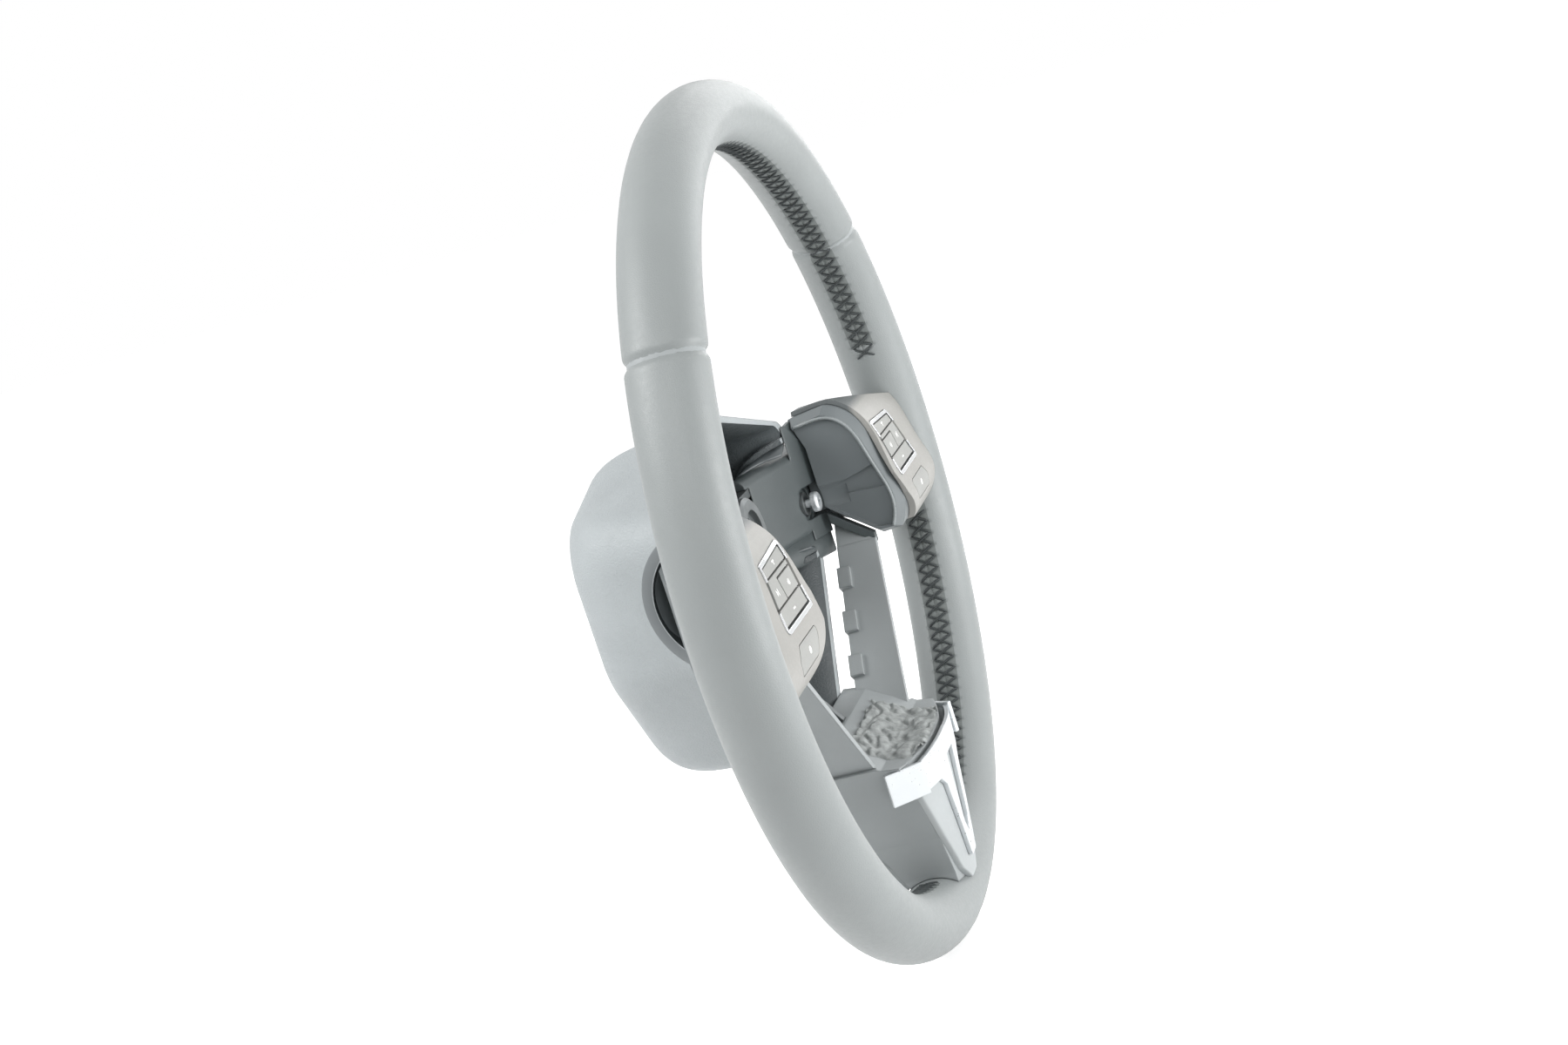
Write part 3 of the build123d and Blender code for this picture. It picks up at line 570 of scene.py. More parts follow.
# Rim
@dataclass
class Rim:
    """The leather-wrapped grip: two panels, their sewn ends, and the cross-stitched joint inside."""

    radius: float = 174.0
    half_width: float = 14.05
    half_depth: float = 16.15
    leather: float = 1.2
    around_step: float = 0.62
    plain_columns: int = 34
    # The seams where the panels meet, left and right of the top.
    seam_degrees: float = 56.2
    seam_slant_degrees: float = 2.2
    seam_gap: float = 0.7
    seam_dip: float = 1.5
    seam_shoulder: float = 1.7
    seam_least: float = 0.05
    tucked_share: float = 0.9
    # The sewn joint round the inside: its band, the quilting between threads and the slit in its middle.
    band_half: float = 6.2
    band_margin: float = 2.5
    fade_inset: float = 1.0
    band_fade: float = 3.0
    painted_shade_inset: float = 0.6
    quilt_height: float = 0.75
    quilt_share: float = 0.22
    slit_depth: float = 0.7
    slit_half: float = 0.55
    spoke_clear_degrees: tuple[float, float] = (13.5, 8.0)
    spoke_fade_degrees: float = 1.5
    # The threads.
    stitch_pitch: float = 5.6
    stitch_row: float = 4.9
    stitch_points: int = 8
    thread_radius: float = 0.42
    thread_lift: float = 0.1
    thread_over: float = 0.12
    thread_sunk: float = 1.1
    thread_dive: float = 0.25
    sewn_least: float = 0.6

    def frame_at(self, theta: float, phi: float, lift: float = 0.0) -> Vector:
        """A place on the grip.

        Args:
            theta: radians clockwise from the top, seen by the driver.
            phi: radians round the grip from its outside, through the back.
            lift: millimetres above the leather's surface.

        Returns:
            The place in metres.
        """
        across = self.normal_pair(phi)
        reach = self.radius + self.half_width * math.cos(phi) + lift * across[0]
        depth = self.half_depth * math.sin(phi) + lift * across[1]
        return at(reach * math.sin(theta), depth, reach * math.cos(theta))

    def normal_pair(self, phi: float) -> tuple[float, float]:
        """The outward normal of the grip's section, as its radial and axial parts."""
        radial = math.cos(phi) / self.half_width
        axial = math.sin(phi) / self.half_depth
        size = math.hypot(radial, axial)
        return radial / size, axial / size

    def stitched(self, theta: float) -> float:
        """1 where the inner joint is sewn, 0 where a spoke covers it."""
        turn = math.degrees(theta) % 360
        side = min(abs(turn - 90), abs(turn - 270)) - self.spoke_clear_degrees[0]
        foot = abs(turn - 180) - self.spoke_clear_degrees[1]
        return ease(min(side, foot) / self.spoke_fade_degrees)

    def seam_theta(self, phi: float) -> float:
        """Where the panels meet, in radians from the top: nearer the top on the inner side."""
        slant = self.seam_slant_degrees * (1 - math.cos(phi)) / 2
        return math.radians(self.seam_degrees - slant)

    def relief(self, theta: float, phi: float) -> float:
        """Height of the sewn joint's relief above the plain grip, in millimetres."""
        across = self.half_depth * math.sin(phi)
        if math.cos(phi) >= 0 or abs(across) > self.band_half + self.band_margin:
            return 0.0
        along = theta * (self.radius - self.half_width) / self.stitch_pitch
        u = along - math.floor(along)
        v = (across / self.stitch_row + 1) / 2
        near = min(abs(v - u), abs(v - 1 + u))
        if v < 0 or v > 1:
            near = min(math.hypot(v - j, u - i) for i in (0, 1) for j in (0, 1))
        pillow = self.quilt_height * (ease(near / self.quilt_share) - 1)
        slit = -self.slit_depth * math.exp(-(across / self.slit_half) ** 2)
        edge = 1 - ease((abs(across) - self.band_half + self.fade_inset) / self.band_fade)
        return (pillow * edge + slit) * self.stitched(theta)

    def section_angles(self) -> list[float]:
        """Angles round the grip, close together over the sewn joint."""
        reach = self.band_half + self.band_margin
        fine = [math.asin(w / self.half_depth) for w in even_steps(-reach, reach, self.around_step)]
        angles = [math.pi - a for a in reversed(fine)]
        last = angles[-1]
        turn = angles[0] + 2 * math.pi - last
        return angles + [last + turn * i / self.plain_columns for i in range(1, self.plain_columns)]

    def panel(self, name: str, node: str, over_top: bool) -> bpy.types.Object:
        """Builds one leather panel with its turned-in ends.

        Args:
            name: the piece's name.
            node: the CAD node that the piece replaces.
            over_top: whether this is the panel over the top of the rim.

        Returns:
            The panel.
        """
        angles = self.section_angles()
        count = len(angles)
        sweep = math.radians(2 * self.seam_degrees if over_top else 360 - 2 * self.seam_degrees)
        length = sweep * self.radius
        shares = [s / length for s in even_steps(0, length, self.around_step)]
        shares = [0.0, 0.0] + shares[1:-1] + [1.0, 1.0]
        half_gap = 0.5 * self.seam_gap / self.radius
        vertices: list[Vector] = []
        for row, share in enumerate(shares):
            tucked = row in (0, len(shares) - 1)
            for phi in angles:
                seam = self.seam_theta(phi)
                low, high = (-seam, seam) if over_top else (seam, 2 * math.pi - seam)
                low, high = low + half_gap, high - half_gap
                theta = low + (high - low) * share
                to_seam = min(theta - low, high - theta) * self.radius
                dip = -self.seam_dip * math.exp(-(to_seam / self.seam_shoulder) ** 2)
                relief = self.relief(theta, phi)
                lift = min(relief, dip) if dip < -self.seam_least else relief + dip
                if tucked:
                    lift = -self.seam_dip - self.tucked_share * self.leather
                vertices.append(self.frame_at(theta, phi, lift))
        middle = 0.0 if over_top else math.pi
        # Faces over the sewn band take the darker joint finish, painted shade for the band's hollows.
        which: list[int] = []
        for share in shares[:-1]:
            sewn = self.stitched(middle + (share - 0.5) * sweep) > 0.5
            for k, phi in enumerate(angles):
                across = self.half_depth * math.sin((phi + angles[(k + 1) % count]) / 2)
                dark = sewn and abs(across) < self.band_half - self.painted_shade_inset and math.cos(phi) < 0
                which.append(int(dark))
        # Turned to face outwards, each from its own first corner.
        faces = [(a, d, c, b) for a, b, c, d in loft_faces(len(shares), count, closed=True)]
        piece = mesh_piece(name, vertices, faces, (Finishes.leather, Finishes.joint), node, which)
        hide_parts(node)
        return piece

    def stitches(self) -> bpy.types.Object:
        """The crossed threads over the inner joint, one X for each pitch."""
        tube = Tube(self.thread_radius)
        reach = self.radius - self.half_width
        count = int(2 * math.pi * reach / self.stitch_pitch)
        for i in range(count):
            start = i * self.stitch_pitch / reach
            if self.stitched(start + 0.5 * self.stitch_pitch / reach) < self.sewn_least:
                continue
            for side in (-1, 1):
                path, out = [], []
                for k in range(self.stitch_points + 1):
                    share = k / self.stitch_points
                    theta = start + share * self.stitch_pitch / reach
                    across = side * self.stitch_row * (2 * share - 1)
                    phi = math.pi - math.asin(across / self.half_depth)
                    over = self.thread_over * side * math.cos(math.pi * (share - 0.5))
                    to_end = (abs(2 * share - 1) - 1 + self.thread_dive) / self.thread_dive
                    lift = self.thread_lift + over - self.thread_sunk * ease(to_end)
                    path.append(self.frame_at(theta, phi, lift))
                    radial, axial = self.normal_pair(phi)
                    out.append(Vector((radial * math.sin(theta), axial, radial * math.cos(theta))))
                tube.add(path, out)
        return mesh_piece("rim_cross_stitches", tube.vertices, tube.faces, (Finishes.thread,),
                          "leather_upper")

    def build(self) -> None:
        """Builds both panels and the stitches."""
        self.panel("rim_leather_upper", "leather_upper", True)
        self.panel("rim_leather_lower", "leather_lower", False)
        self.stitches()


# Switch pods
class Side(Enum):
    """The driver's right or left, with the sign of its X."""

    RIGHT = 1
    LEFT = -1

    def node(self, name: str) -> str:
        """The full name of a node on this side."""
        return self.name.lower() + "_" + name


class Icon(Enum):
    """Simple signs printed on the keys, each as outlines in units of half its size."""

    PLUS = (((-1, 0.22), (-0.22, 0.22), (-0.22, 1), (0.22, 1), (0.22, 0.22), (1, 0.22), (1, -0.22),
             (0.22, -0.22), (0.22, -1), (-0.22, -1), (-0.22, -0.22), (-1, -0.22)),)
    MINUS = (((-1, 0.22), (1, 0.22), (1, -0.22), (-1, -0.22)),)
    NEXT = (((-0.9, 0.9), (0.2, 0), (-0.9, -0.9)), ((0.45, 0.9), (0.85, 0.9), (0.85, -0.9), (0.45, -0.9)))
    SOUND = (((-1, 0.4), (-0.5, 0.4), (0.1, 1), (0.1, -1), (-0.5, -0.4), (-1, -0.4)),
             ((0.5, 0.7), (0.8, 0.7), (0.8, -0.7), (0.5, -0.7)))
    ROUND = (tuple((math.cos(math.radians(30 * i)), math.sin(math.radians(30 * i))) for i in range(12)),)


def first_hit(node: str, start: Vector, along: Vector) -> Optional[Vector]:
    """Where a straight line first meets a CAD node, or None."""
    hit, place, _, _ = frame["nodes"][node].ray_cast(start, along)
    return place if hit else None


def surface_y(node: str, x: float, z: float) -> Optional[float]:
    """Depth of a node's foremost surface, looking straight back from the driver's seat.

    Args:
        node: the CAD node's name.
        x: millimetres to the right of the rim's middle.
        z: millimetres above it.

    Returns:
        The depth in millimetres from the middle of the rim, or None where there is nothing.
    """
    place = first_hit(node, at(x, FRONT_OF_ALL, z), Vector((0, 1, 0)))
    return place.y / MM + BORE_Y if place else None


@dataclass
class SwitchPod:
    """One pod's printed key signs."""

    side: Side
    half_size: float = 1.5
    proud: float = 0.05
    sunk: float = 0.25
    # For each key the sign and its middle, as X and Z on the right-hand pod.
    signs: tuple[tuple[str, Icon, float, float], ...] = (
        ("key_top", Icon.PLUS, 117.0, 12.8),
        ("key_bottom", Icon.MINUS, 121.5, -5.6),
        ("key_outer", Icon.NEXT, 130.0, 3.4),
        ("key_inner", Icon.SOUND, 112.5, 2.6),
        ("key_lower", Icon.ROUND, 129.0, -20.9),
    )

    def sign(self, key: str, icon: Icon, x: float, z: float) -> None:
        """Lays one sign on its key, following the key's curve.

        Args:
            key: the key's name without its side.
            icon: the sign.
            x: its middle to the right on the right-hand pod, in millimetres.
            z: its height.
        """
        node = self.side.node(key)
        vertices: list[Vector] = []
        faces: list[tuple[int, ...]] = []
        for outline in icon.value:
            first = len(vertices)
            count = len(outline)
            for shift in (-self.proud, self.sunk):
                for u, v in outline:
                    px = self.side.value * x + u * self.half_size
                    pz = z + v * self.half_size
                    depth = surface_y(node, px, pz)
                    if depth is None:
                        LOG.info("no surface under %s at %.1f, %.1f", node, px, pz)
                        return
                    vertices.append(at(px, depth + shift, pz))
            faces.append(tuple(first + i for i in range(count)))
            faces.append(tuple(first + count + i for i in range(count))[::-1])
            for i in range(count):
                j = (i + 1) % count
                faces.append((first + j, first + i, first + count + i, first + count + j))
        name = self.side.node("sign_" + key.removeprefix("key_"))
        mesh_piece(name, vertices, faces, (Finishes.ink,), node, smooth=False,
                   body=frame["nodes"][node]["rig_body"])

    def build(self) -> None:
        """Lays every sign of the pod."""
        for sign in self.signs:
            self.sign(*sign)


# Rear cover
@dataclass
class ReleaseShroud:
    """The scoop inside one release cut-out, painted dark as shade, which leads a tool to the airbag's spring.
    """

    side: Side
    middle_y: float = 31.9
    middle_z: float = -4.5
    reach: float = 27.1
    half_height: float = 26.0
    # Loop round the scoop's wall: how far inside the cover, how much narrower in depth and in height.
    loop: tuple[tuple[float, float, float], ...] = (
        (2.7, -0.8, -0.8), (8.0, 1.2, 1.6), (15.0, 3.0, 3.4),
        (15.0, 4.0, 4.5), (8.0, 2.4, 2.8), (2.7, 0.4, 0.4))
    inner_depth: float = 15.0
    # How much squarer the oval is at that depth.
    squarer: float = 0.5
    # Across the band: how far outside the cut-out's edge, and how far proud of the skin.
    band: tuple[tuple[float, float], ...] = (
        (0.0, -1.2), (0.1, 0.1), (0.5, 0.3), (4.3, 0.35), (4.9, 0.25), (5.2, -0.5))
    # How the cover's skin is felt for: from outside it, clear of the cut-out's edge and of the cover's front.
    outside_x: float = 130.0
    least_x: float = 60.0
    clear_of_edge: float = 1.6
    clear_of_front: float = 0.6
    first_guess: float = 92.0
    smoothing: int = 2
    steps: int = 40

    def angle(self, step: int) -> float:
        """Where a step lies on the half oval, from its foot round the back to its top."""
        return math.pi * (step / self.steps - 0.5)

    def skins(self, wider: float) -> list[float]:
        """Distance of the cover's outside from the middle plane along the half oval.

        Args:
            wider: how far outside the cut-out's edge to feel, in millimetres.

        Returns:
            One distance for each step, in millimetres.
        """
        sign = self.side.value
        found: list[float] = []
        for step in range(self.steps + 1):
            y = self.middle_y + (self.reach + wider) * math.cos(self.angle(step))
            z = self.middle_z + (self.half_height + wider) * math.sin(self.angle(step))
            start = at(sign * self.outside_x, max(y, self.middle_y + self.clear_of_front), z)
            place = first_hit("rear_cover", start, Vector((-sign, 0, 0)))
            skin = abs(place.x) / MM if place else 0.0
            last = found[-1] if found else self.first_guess
            found.append(skin if skin > self.least_x else last)
        for _ in range(self.smoothing):
            middle = [(a + b + c) / 3 for a, b, c in zip(found, found[1:], found[2:])]
            found = found[:1] + middle + found[-1:]
        return found

    def flank(self) -> bpy.types.Object:
        """Builds the smooth band round the cut-out, a little proud of the grained skin."""
        rings = [self.skins(max(wider, self.clear_of_edge)) for wider, _ in self.band]
        vertices: list[Vector] = []
        for step in range(self.steps + 1):
            angle = self.angle(step)
            for (wider, proud), ring in zip(self.band, rings):
                y = self.middle_y + (self.reach + wider) * max(0.0, math.cos(angle))
                z = self.middle_z + (self.half_height + wider) * math.sin(angle)
                vertices.append(at(self.side.value * (ring[step] + proud), y, z))
        faces = loft_faces(self.steps + 1, len(self.band), turned=self.side is Side.LEFT)
        # The band's darker finish is painted shade for the recess round the cut-out.
        return mesh_piece(self.side.node("release_flank"), vertices, faces, (Finishes.flank,), "rear_cover")

    def build(self) -> bpy.types.Object:
        """Builds the scoop round the half oval of the cut-out."""
        vertices: list[Vector] = []
        for step, skin in enumerate(self.skins(self.clear_of_edge)):
            angle = self.angle(step)
            for inside, less_reach, less_height in self.loop:
                power = 1 - self.squarer * min(1.0, inside / self.inner_depth)
                along = max(0.0, math.cos(angle)) ** power
                up = math.copysign(abs(math.sin(angle)) ** power, angle)
                y = self.middle_y + (self.reach - less_reach) * along
                z = self.middle_z + (self.half_height - less_height) * up
                vertices.append(at(self.side.value * (skin - inside), y, z))
        faces = loft_faces(self.steps + 1, len(self.loop), closed=True, capped=True,
                           turned=self.side is Side.RIGHT)
        # The scoop's dark finish is painted shade for the hollow of the cut-out.
        return mesh_piece(self.side.node("release_shroud"), vertices, faces, (Finishes.inner,), "rear_cover")


# Lower spoke
@dataclass
class RawFoam:
    """The open, wrinkled skin on the ledge behind the lower spoke, where the airbag would hide it."""

    half_width: float = 33.0
    front_y: float = -16.0
    back_y: float = 15.0
    # Above the ledge, and the lowest place that still belongs to it.
    above_z: float = -60.0
    lowest_z: float = -112.0
    margin: float = 2.0
    step: float = 0.6
    sunk: float = 0.6
    height: float = 1.5
    # Sizes in millimetres of the ragged edge, the bends in the folds, the folds and the fine creases.
    ragged_mm: float = 5.0
    bend_mm: float = 9.0
    fold_mm: float = 11.0
    crease_mm: tuple[float, float] = (1.6, 1.1)
    ragged: float = 0.12
    bend: float = 2.5
    fold_stretch: float = 2.2
    fold_share: float = 0.3
    edge_share: float = 0.1
    low_share: float = 0.4
    lump_share: float = 0.8
    crease_share: float = 0.15

    def lift(self, x: float, y: float) -> float:
        """Height of the skin above the ledge: creased lumps, falling under the ledge at a ragged edge.

        Args:
            x: millimetres to the right of the middle.
            y: depth in millimetres.

        Returns:
            The height in millimetres.
        """
        # The third coordinate only picks a different noise for each use.
        along = (y - self.front_y) / (self.back_y - self.front_y)
        ragged = self.ragged * noise.noise(Vector((x / self.ragged_mm, y / self.ragged_mm, 3.0)))
        outer = max(abs(x) / self.half_width, abs(2 * along - 1)) + ragged
        bent = y + self.bend * noise.noise(Vector((x / self.bend_mm, y / self.bend_mm, 5.0)))
        fold = noise.noise(Vector((x / self.fold_mm, bent / self.fold_mm * self.fold_stretch, 0.0)))
        crease = noise.noise(Vector((x / self.crease_mm[0], y / self.crease_mm[1], 9.0)))
        lump = self.low_share + self.lump_share * ease(abs(fold) / self.fold_share)
        body = self.height * (lump - self.crease_share * abs(crease))
        inner = ease((1 - outer) / self.edge_share)
        return body * inner - self.sunk * ease((outer - 1 + self.edge_share) / self.edge_share)

    def build(self) -> bpy.types.Object:
        """Builds the skin over the CAD's ledge."""
        reach = self.half_width + self.margin
        columns = even_steps(-reach, reach, self.step)
        rows = even_steps(self.front_y - self.margin, self.back_y + self.margin, self.step)
        vertices: list[Vector] = []
        index: dict[tuple[int, int], int] = {}
        for j, y in enumerate(rows):
            for i, x in enumerate(columns):
                place = first_hit("hub_surround", at(x, y, self.above_z), Vector((0, 0, -1)))
                if place and place.z / MM > self.lowest_z:
                    index[(i, j)] = len(vertices)
                    vertices.append(place + Vector((0, 0, self.lift(x, y) * MM)))
        faces = []
        for j in range(len(rows) - 1):
            for i in range(len(columns) - 1):
                corners = [(i, j), (i + 1, j), (i + 1, j + 1), (i, j + 1)]
                if all(c in index for c in corners):
                    faces.append(tuple(index[c] for c in corners))
        return mesh_piece("lower_spoke_raw_foam", vertices, faces, (Finishes.raw_foam,), "hub_surround")


@dataclass
class SpokeShield:
    """The light shield over the lower spoke's front, crowned and running to a tip on the rim."""

    # Half-width by height.
    outline: tuple[tuple[float, float], ...] = ((-166.0, 5.0), (-158.0, 14.5), (-139.0, 25.2), (-117.0, 36.0),
                                                (-103.0, 38.0))
    # Height, depth at the middle and depth at line_reach from it, on two lines of the crown.
    high_line: tuple[float, float, float] = (-90.0, -20.0, -9.5)
    low_line: tuple[float, float, float] = (-174.0, -14.6, -3.0)
    line_reach: float = 52.0
    gap: float = 0.15
    thickness: float = 2.5
    edge_radius: float = 0.9
    edge_steps: int = 3
    rows: int = 60
    columns: int = 36

    def crown(self, x: float, z: float) -> float:
        """Depth of the crowned face."""
        share = (self.high_line[0] - z) / (self.high_line[0] - self.low_line[0])
        middle = self.high_line[1] + (self.low_line[1] - self.high_line[1]) * share
        side = self.high_line[2] + (self.low_line[2] - self.high_line[2]) * share
        return middle + (side - middle) * (x / self.line_reach) ** 2

    def build(self) -> bpy.types.Object:
        """Builds the shield with edges that turn back onto the spoke."""
        vertices: list[Vector] = []
        low, high = self.outline[0][0], self.outline[-1][0]
        width = self.columns + 2 * self.edge_steps + 1
        for row in range(self.rows + 1):
            z = low + (high - low) * row / self.rows
            half = between(self.outline, z)
            for column in range(width):
                place = column - self.edge_steps
                past = max(-place, place - self.columns, 0)
                x = half * (2 * min(max(place, 0), self.columns) / self.columns - 1)
                back = 0.0
                if past:
                    angle = math.pi / 2 * past / self.edge_steps
                    x += math.copysign(self.edge_radius * math.sin(angle), x)
                    back = self.edge_radius * (1 - math.cos(angle))
                if past == self.edge_steps:
                    back += self.thickness - self.edge_radius
                vertices.append(at(x, self.crown(x, z) + self.gap + back, z))
        faces = loft_faces(self.rows + 1, width)
        piece = mesh_piece("lower_spoke_shield", vertices, faces, (Finishes.light,), "lower_spoke_cover")
        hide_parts("lower_spoke_cover")
        return piece


# Side spokes, pod edges and flat pieces
@dataclass
class FoamSkirt:
    """The lower edge of one side spoke's foam, which hangs behind the top of the slanting wall."""

    side: Side
    # Front line as X and Y, from the hub out to the pod, and the lower edge as X and Z.
    front: tuple[tuple[float, float], ...] = ((52.0, 46.0), (64.0, 40.6), (76.0, 35.2), (88.0, 29.8),
                                              (97.0, 26.4))
    low_edge: tuple[tuple[float, float], ...] = ((52.0, -30.0), (76.0, -33.0), (97.0, -34.5))
    top_z: float = -21.0
    thickness: float = 3.0
    round_mm: float = 1.4
    round_steps: int = 8
    columns: int = 24

    def build(self) -> bpy.types.Object:
        """Builds the skirt with a rounded lower edge."""
        vertices: list[Vector] = []
        arc = [math.pi * i / self.round_steps for i in range(self.round_steps + 1)]
        first, last = self.front[0][0], self.front[-1][0]
        for column in range(self.columns + 1):
            x = first + (last - first) * column / self.columns
            y = between(self.front, x)
            low = between(self.low_edge, x)
            section = [(y, self.top_z)]
            for angle in arc:
                back = self.thickness / 2 * (1 - math.cos(angle))
                section.append((y + back, low - self.round_mm * math.sin(angle)))
            section.append((y + self.thickness, self.top_z))
            vertices += [at(self.side.value * x, sy, sz) for sy, sz in section]
        faces = loft_faces(self.columns + 1, len(arc) + 2, closed=True, capped=True,
                           turned=self.side is Side.LEFT)
        return mesh_piece(self.side.node("spoke_foam_skirt"), vertices, faces, (Finishes.spoke_foam,),
                          self.side.node("spoke_foam"))


@dataclass
class FanLip:
    """The rounded lip that stands on one pod's inner face, along its top and its front curve."""

    side: Side
    radius: float = 0.75
    plane_x: float = 92.1
    inset: float = 0.8
    above_z: float = 60.0
    before_y: float = -60.0
    top_depths: tuple[float, ...] = (29.0, 27.0, 24.0, 21.0, 18.0)
    front_high: float = 27.5
    front_low: float = -31.0
    front_steps: int = 44
    smoothing: int = 3
    sides: int = 8

    def build(self) -> bpy.types.Object:
        """Builds the lip just inside the edge that the CAD's carrier has there."""
        carrier = self.side.node("pod_carrier")
        x = self.side.value * self.plane_x
        path: list[Vector] = []
        for y in self.top_depths:
            place = first_hit(carrier, at(x, y, self.above_z), Vector((0, 0, -1)))
            if place:
                path.append(place - Vector((0, 0, self.inset * MM)))
        for step in range(self.front_steps + 1):
            z = self.front_high + (self.front_low - self.front_high) * step / self.front_steps
            place = first_hit(carrier, at(x, self.before_y, z), Vector((0, 1, 0)))
            if place:
                path.append(place + Vector((0, self.inset * MM, 0)))
        for _ in range(self.smoothing):
            middle = [(a + 2 * b + c) / 4 for a, b, c in zip(path, path[1:], path[2:])]
            path = path[:1] + middle + path[-1:]
        tube = Tube(self.radius, sides=self.sides)
        inward = Vector((-self.side.value, 0, 0))
        tube.add([p + inward * (self.radius * MM) for p in path], [inward] * len(path))
        # The lip's lighter finish is a painted highlight along the rib.
        return mesh_piece(self.side.node("pod_lip"), tube.vertices, tube.faces, (Finishes.lip,), carrier)


@dataclass
class Slab:
    """A flat-sided piece: an outline in the YZ plane, as wide as two functions of height say."""

    name: str
    outline: tuple[tuple[float, float], ...]
    # X of its two sides by height.
    first_side: tuple[tuple[float, float], ...]
    second_side: tuple[tuple[float, float], ...]
    like: str
    finish: Finish

    def build(self, side: Side) -> bpy.types.Object:
        """Builds the slab on one side of the wheel.

        Args:
            side: the side; LEFT mirrors it.

        Returns:
            The slab.
        """
        count = len(self.outline)
        vertices = []
        for edge in (self.first_side, self.second_side):
            vertices += [at(side.value * between(edge, z), y, z) for y, z in self.outline]
        faces = [tuple(range(count)), tuple(range(2 * count - 1, count - 1, -1))]
        faces += [(i, i + count, (i + 1) % count + count, (i + 1) % count) for i in range(count)]
        piece = mesh_piece(self.name, vertices, faces, (self.finish,), self.like, smooth=False)
        shell = bmesh.new()
        shell.from_mesh(piece.data)
        bmesh.ops.recalc_face_normals(shell, faces=shell.faces)
        shell.to_mesh(piece.data)
        shell.free()
        return piece


# The top of the slanting wall beside the pod.
WALL_HEAD_OUTLINE = ((7.0, -33.2), (24.4, -33.2), (24.4, -20.6), (16.0, -27.0))
WALL_HEAD_INNER = ((-34.0, 90.4), (-18.0, 103.0))
WALL_HEAD_OUTER = ((-34.0, 94.2), (-18.0, 106.8))
# The dark foam that closes the corner between that wall and the pod, put there as painted shadow for the dark
# gap under the pod.
POD_SHADOW_FILLER_OUTLINE = ((6.0, -30.8), (24.3, -16.7), (24.3, -21.6), (6.0, -35.4))
POD_SHADOW_FILLER_INNER = ((-36.0, 92.0), (-16.0, 92.0))
POD_SHADOW_FILLER_OUTER = ((-36.0, 96.4), (-16.0, 96.4))
# The foam behind the shield's foot.
HEEL_OUTLINE = ((9.0, -159.5), (26.0, -124.0), (19.0, -150.0), (12.5, -164.0))
HEEL_HALF = ((-168.0, 15.0), (-158.0, 18.6), (-139.0, 25.6), (-117.0, 36.0))


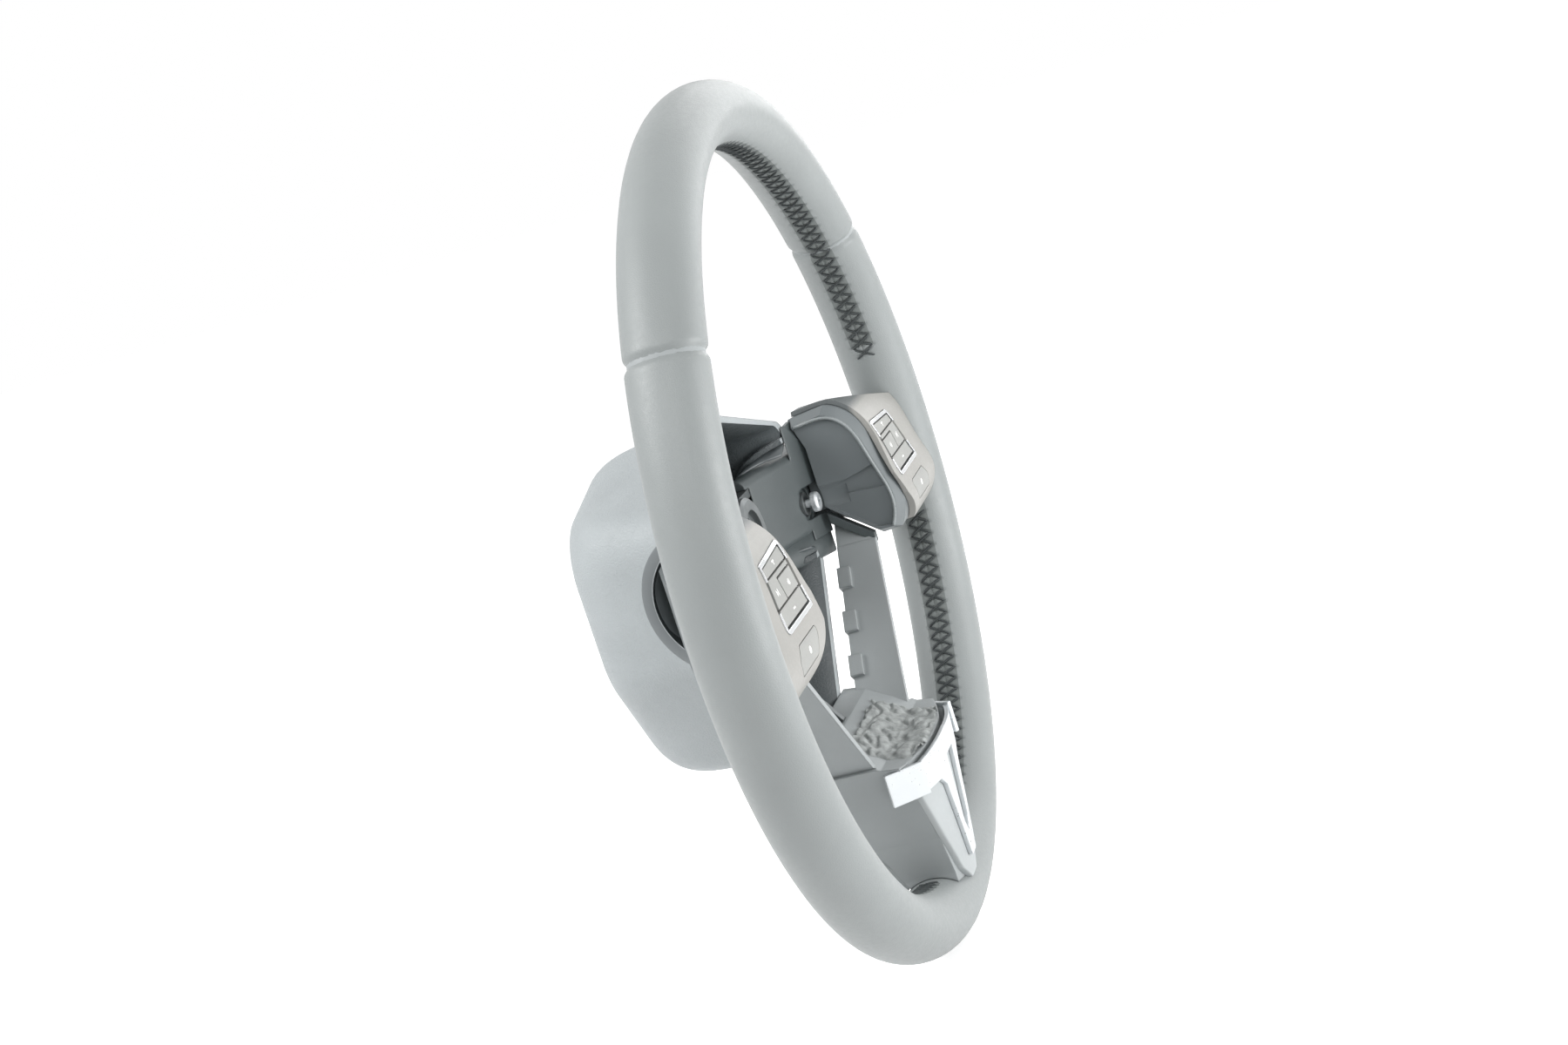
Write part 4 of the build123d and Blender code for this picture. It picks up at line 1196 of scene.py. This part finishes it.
# Studio
@dataclass
class Studio:
    """The camera where the photograph was taken from, plain soft light, and a pale floor."""

    azimuth: float = -73.7812
    elevation: float = 10.8167
    roll: float = -17.9741
    shift_mm: tuple[float, float, float] = (17.793, 2.098, 1088.562)
    focal_px: float = 2986.235
    sensor_mm: float = 36.0
    clip_m: tuple[float, float] = (0.01, 50.0)
    # Each soft box: its name, its place in millimetres from the rim's middle, its side and its watts.
    lamps: tuple[tuple[str, tuple[float, float, float], float, float], ...] = (
        ("back_soft_box", (-450, 750, 850), 600, 9.0),
        ("front_soft_box", (0, -950, -20), 600, 9.0),
        ("right_soft_box", (1100, -300, 500), 900, 6.0),
        ("left_soft_box", (-1100, -150, 1000), 900, 6.0),
    )
    aim_mm: tuple[float, float, float] = (0, 20, -20)
    world_strength: float = 0.48
    floor_gap_mm: float = 2.0
    floor_half_m: float = 6.0
    floor_glow: float = 0.62
    paper: str = "#F0F0F0"

    def camera(self) -> None:
        """Makes the scene's camera from the angle, roll and distance found for the photograph."""
        a, e = math.radians(self.azimuth), math.radians(self.elevation)
        ahead = -Vector((math.sin(a) * math.cos(e), -math.cos(a) * math.cos(e), math.sin(e)))
        right = ahead.cross(Vector((0, 0, 1))).normalized()
        up = right.cross(ahead)
        c, s = math.cos(math.radians(self.roll)), math.sin(math.radians(self.roll))
        rows = (c * right + s * up, -s * right + c * up, ahead)
        middle = at(0, 0, 0)
        place = middle - sum((row * (t * MM) for row, t in zip(rows, self.shift_mm)), Vector())
        data = bpy.data.cameras.new("photo_camera")
        data.sensor_width = self.sensor_mm
        data.lens = self.focal_px * self.sensor_mm / PHOTO_WIDTH
        data.clip_start, data.clip_end = self.clip_m
        camera = link_object("photo_camera", data)
        turn = Matrix((rows[0], rows[1], -rows[2])).transposed().to_4x4()
        camera.matrix_world = Matrix.Translation(place) @ turn
        bpy.context.scene.camera = camera

    def lamp(self, name: str, place_mm: Sequence[float], size_mm: float, power: float) -> None:
        """Adds a square soft box that faces the wheel.

        Args:
            name: the lamp's name.
            place_mm: where it stands, from the middle of the rim.
            size_mm: its side.
            power: its power in watts.
        """
        data = bpy.data.lights.new(name, "AREA")
        data.shape = "SQUARE"
        data.size = size_mm * MM
        data.energy = power
        lamp = link_object(name, data)
        lamp.location = at(*place_mm)
        aim = at(*self.aim_mm) - lamp.location
        lamp.rotation_mode = "QUATERNION"
        lamp.rotation_quaternion = aim.to_track_quat("-Z", "Y")

    @staticmethod
    def seen(tree: bpy.types.NodeTree, rays: Sequence[str]) -> bpy.types.NodeSocket:
        """1 for the named kinds of ray, and 0 for all others.

        Args:
            tree: the material's or world's node tree.
            rays: names of the light path's outputs.

        Returns:
            The socket with that value.
        """
        path = add_node(tree, "ShaderNodeLightPath")
        value = path.outputs[rays[0]]
        for ray in rays[1:]:
            either = add_node(tree, "ShaderNodeMath", {"operation": "MAXIMUM"},
                              {0: value, 1: path.outputs[ray]})
            value = either.outputs[0]
        return value

    def world(self) -> None:
        """A soft even sky that the camera, mirrors and glass see as plain white."""
        world = bpy.data.worlds.new("soft_white")
        bpy.context.scene.world = world
        world.use_nodes = True
        tree = world.node_tree
        tree.nodes.clear()
        seen = self.seen(tree, ("Is Camera Ray", "Is Glossy Ray", "Is Transmission Ray"))
        level = add_node(tree, "ShaderNodeMapRange", {"To Min": self.world_strength, "To Max": 1.0},
                         {"Value": seen})
        sky = add_node(tree, "ShaderNodeBackground", {"Color": (1, 1, 1, 1)}, {"Strength": level.outputs[0]})
        add_node(tree, "ShaderNodeOutputWorld", links={"Surface": sky.outputs[0]})

    def floor(self) -> None:
        """A pale floor just under the rim, which shows white with the wheel's shadow on it."""
        low = CAD_BOX[0].z - self.floor_gap_mm * MM
        half = self.floor_half_m
        mesh = bpy.data.meshes.new("floor")
        corners = [(-half, -half, low), (half, -half, low), (half, half, low), (-half, half, low)]
        mesh.from_pydata(corners, [], [(0, 1, 2, 3)])
        floor = link_object("floor", mesh)
        material = bpy.data.materials.new("studio_paper_matt")
        material.use_nodes = True
        tree = material.node_tree
        tree.nodes.clear()
        paper = add_node(tree, "ShaderNodeBsdfDiffuse", {"Color": srgb(self.paper)})
        lift = add_node(tree, "ShaderNodeMath", {"operation": "MULTIPLY", 1: self.floor_glow},
                        {0: self.seen(tree, ("Is Camera Ray", "Is Glossy Ray"))})
        glow = add_node(tree, "ShaderNodeEmission", {"Color": (1, 1, 1, 1)}, {"Strength": lift.outputs[0]})
        both = add_node(tree, "ShaderNodeAddShader", links={0: paper.outputs[0], 1: glow.outputs[0]})
        add_node(tree, "ShaderNodeOutputMaterial", links={"Surface": both.outputs[0]})
        mesh.materials.append(material)

    def build(self) -> None:
        """Sets the view transform and makes camera, lamps, sky and floor."""
        bpy.context.scene.view_settings.view_transform = "Standard"
        self.camera()
        for lamp in self.lamps:
            self.lamp(*lamp)
        self.world()
        self.floor()
        LOG.info("studio ready")


def main() -> None:
    """Builds the studio, dresses the wheel and reports each piece."""
    Studio().build()
    dress_cad_nodes()
    Rim().build()
    for side in Side:
        SwitchPod(side).build()
        FoamSkirt(side).build()
        FanLip(side).build()
        head = Slab(side.node("wall_head"), WALL_HEAD_OUTLINE, WALL_HEAD_INNER, WALL_HEAD_OUTER,
                    "hub_surround", Finishes.foam)
        head.build(side)
        # A dark foam slab as painted shadow in the gap under the pod.
        shadow_filler = Slab(side.node("pod_filler"), POD_SHADOW_FILLER_OUTLINE, POD_SHADOW_FILLER_INNER, POD_SHADOW_FILLER_OUTER,
                      side.node("spoke_foam"), Finishes.spoke_foam)
        shadow_filler.build(side)
        shroud = ReleaseShroud(side)
        shroud.build()
        shroud.flank()
    SpokeShield().build()
    heel_left = tuple((z, -x) for z, x in HEEL_HALF)
    heel = Slab("lower_spoke_heel", HEEL_OUTLINE, HEEL_HALF, heel_left, "hub_surround", Finishes.foam)
    heel.build(Side.RIGHT)
    RawFoam().build()


if __name__ == "__main__":
    main()
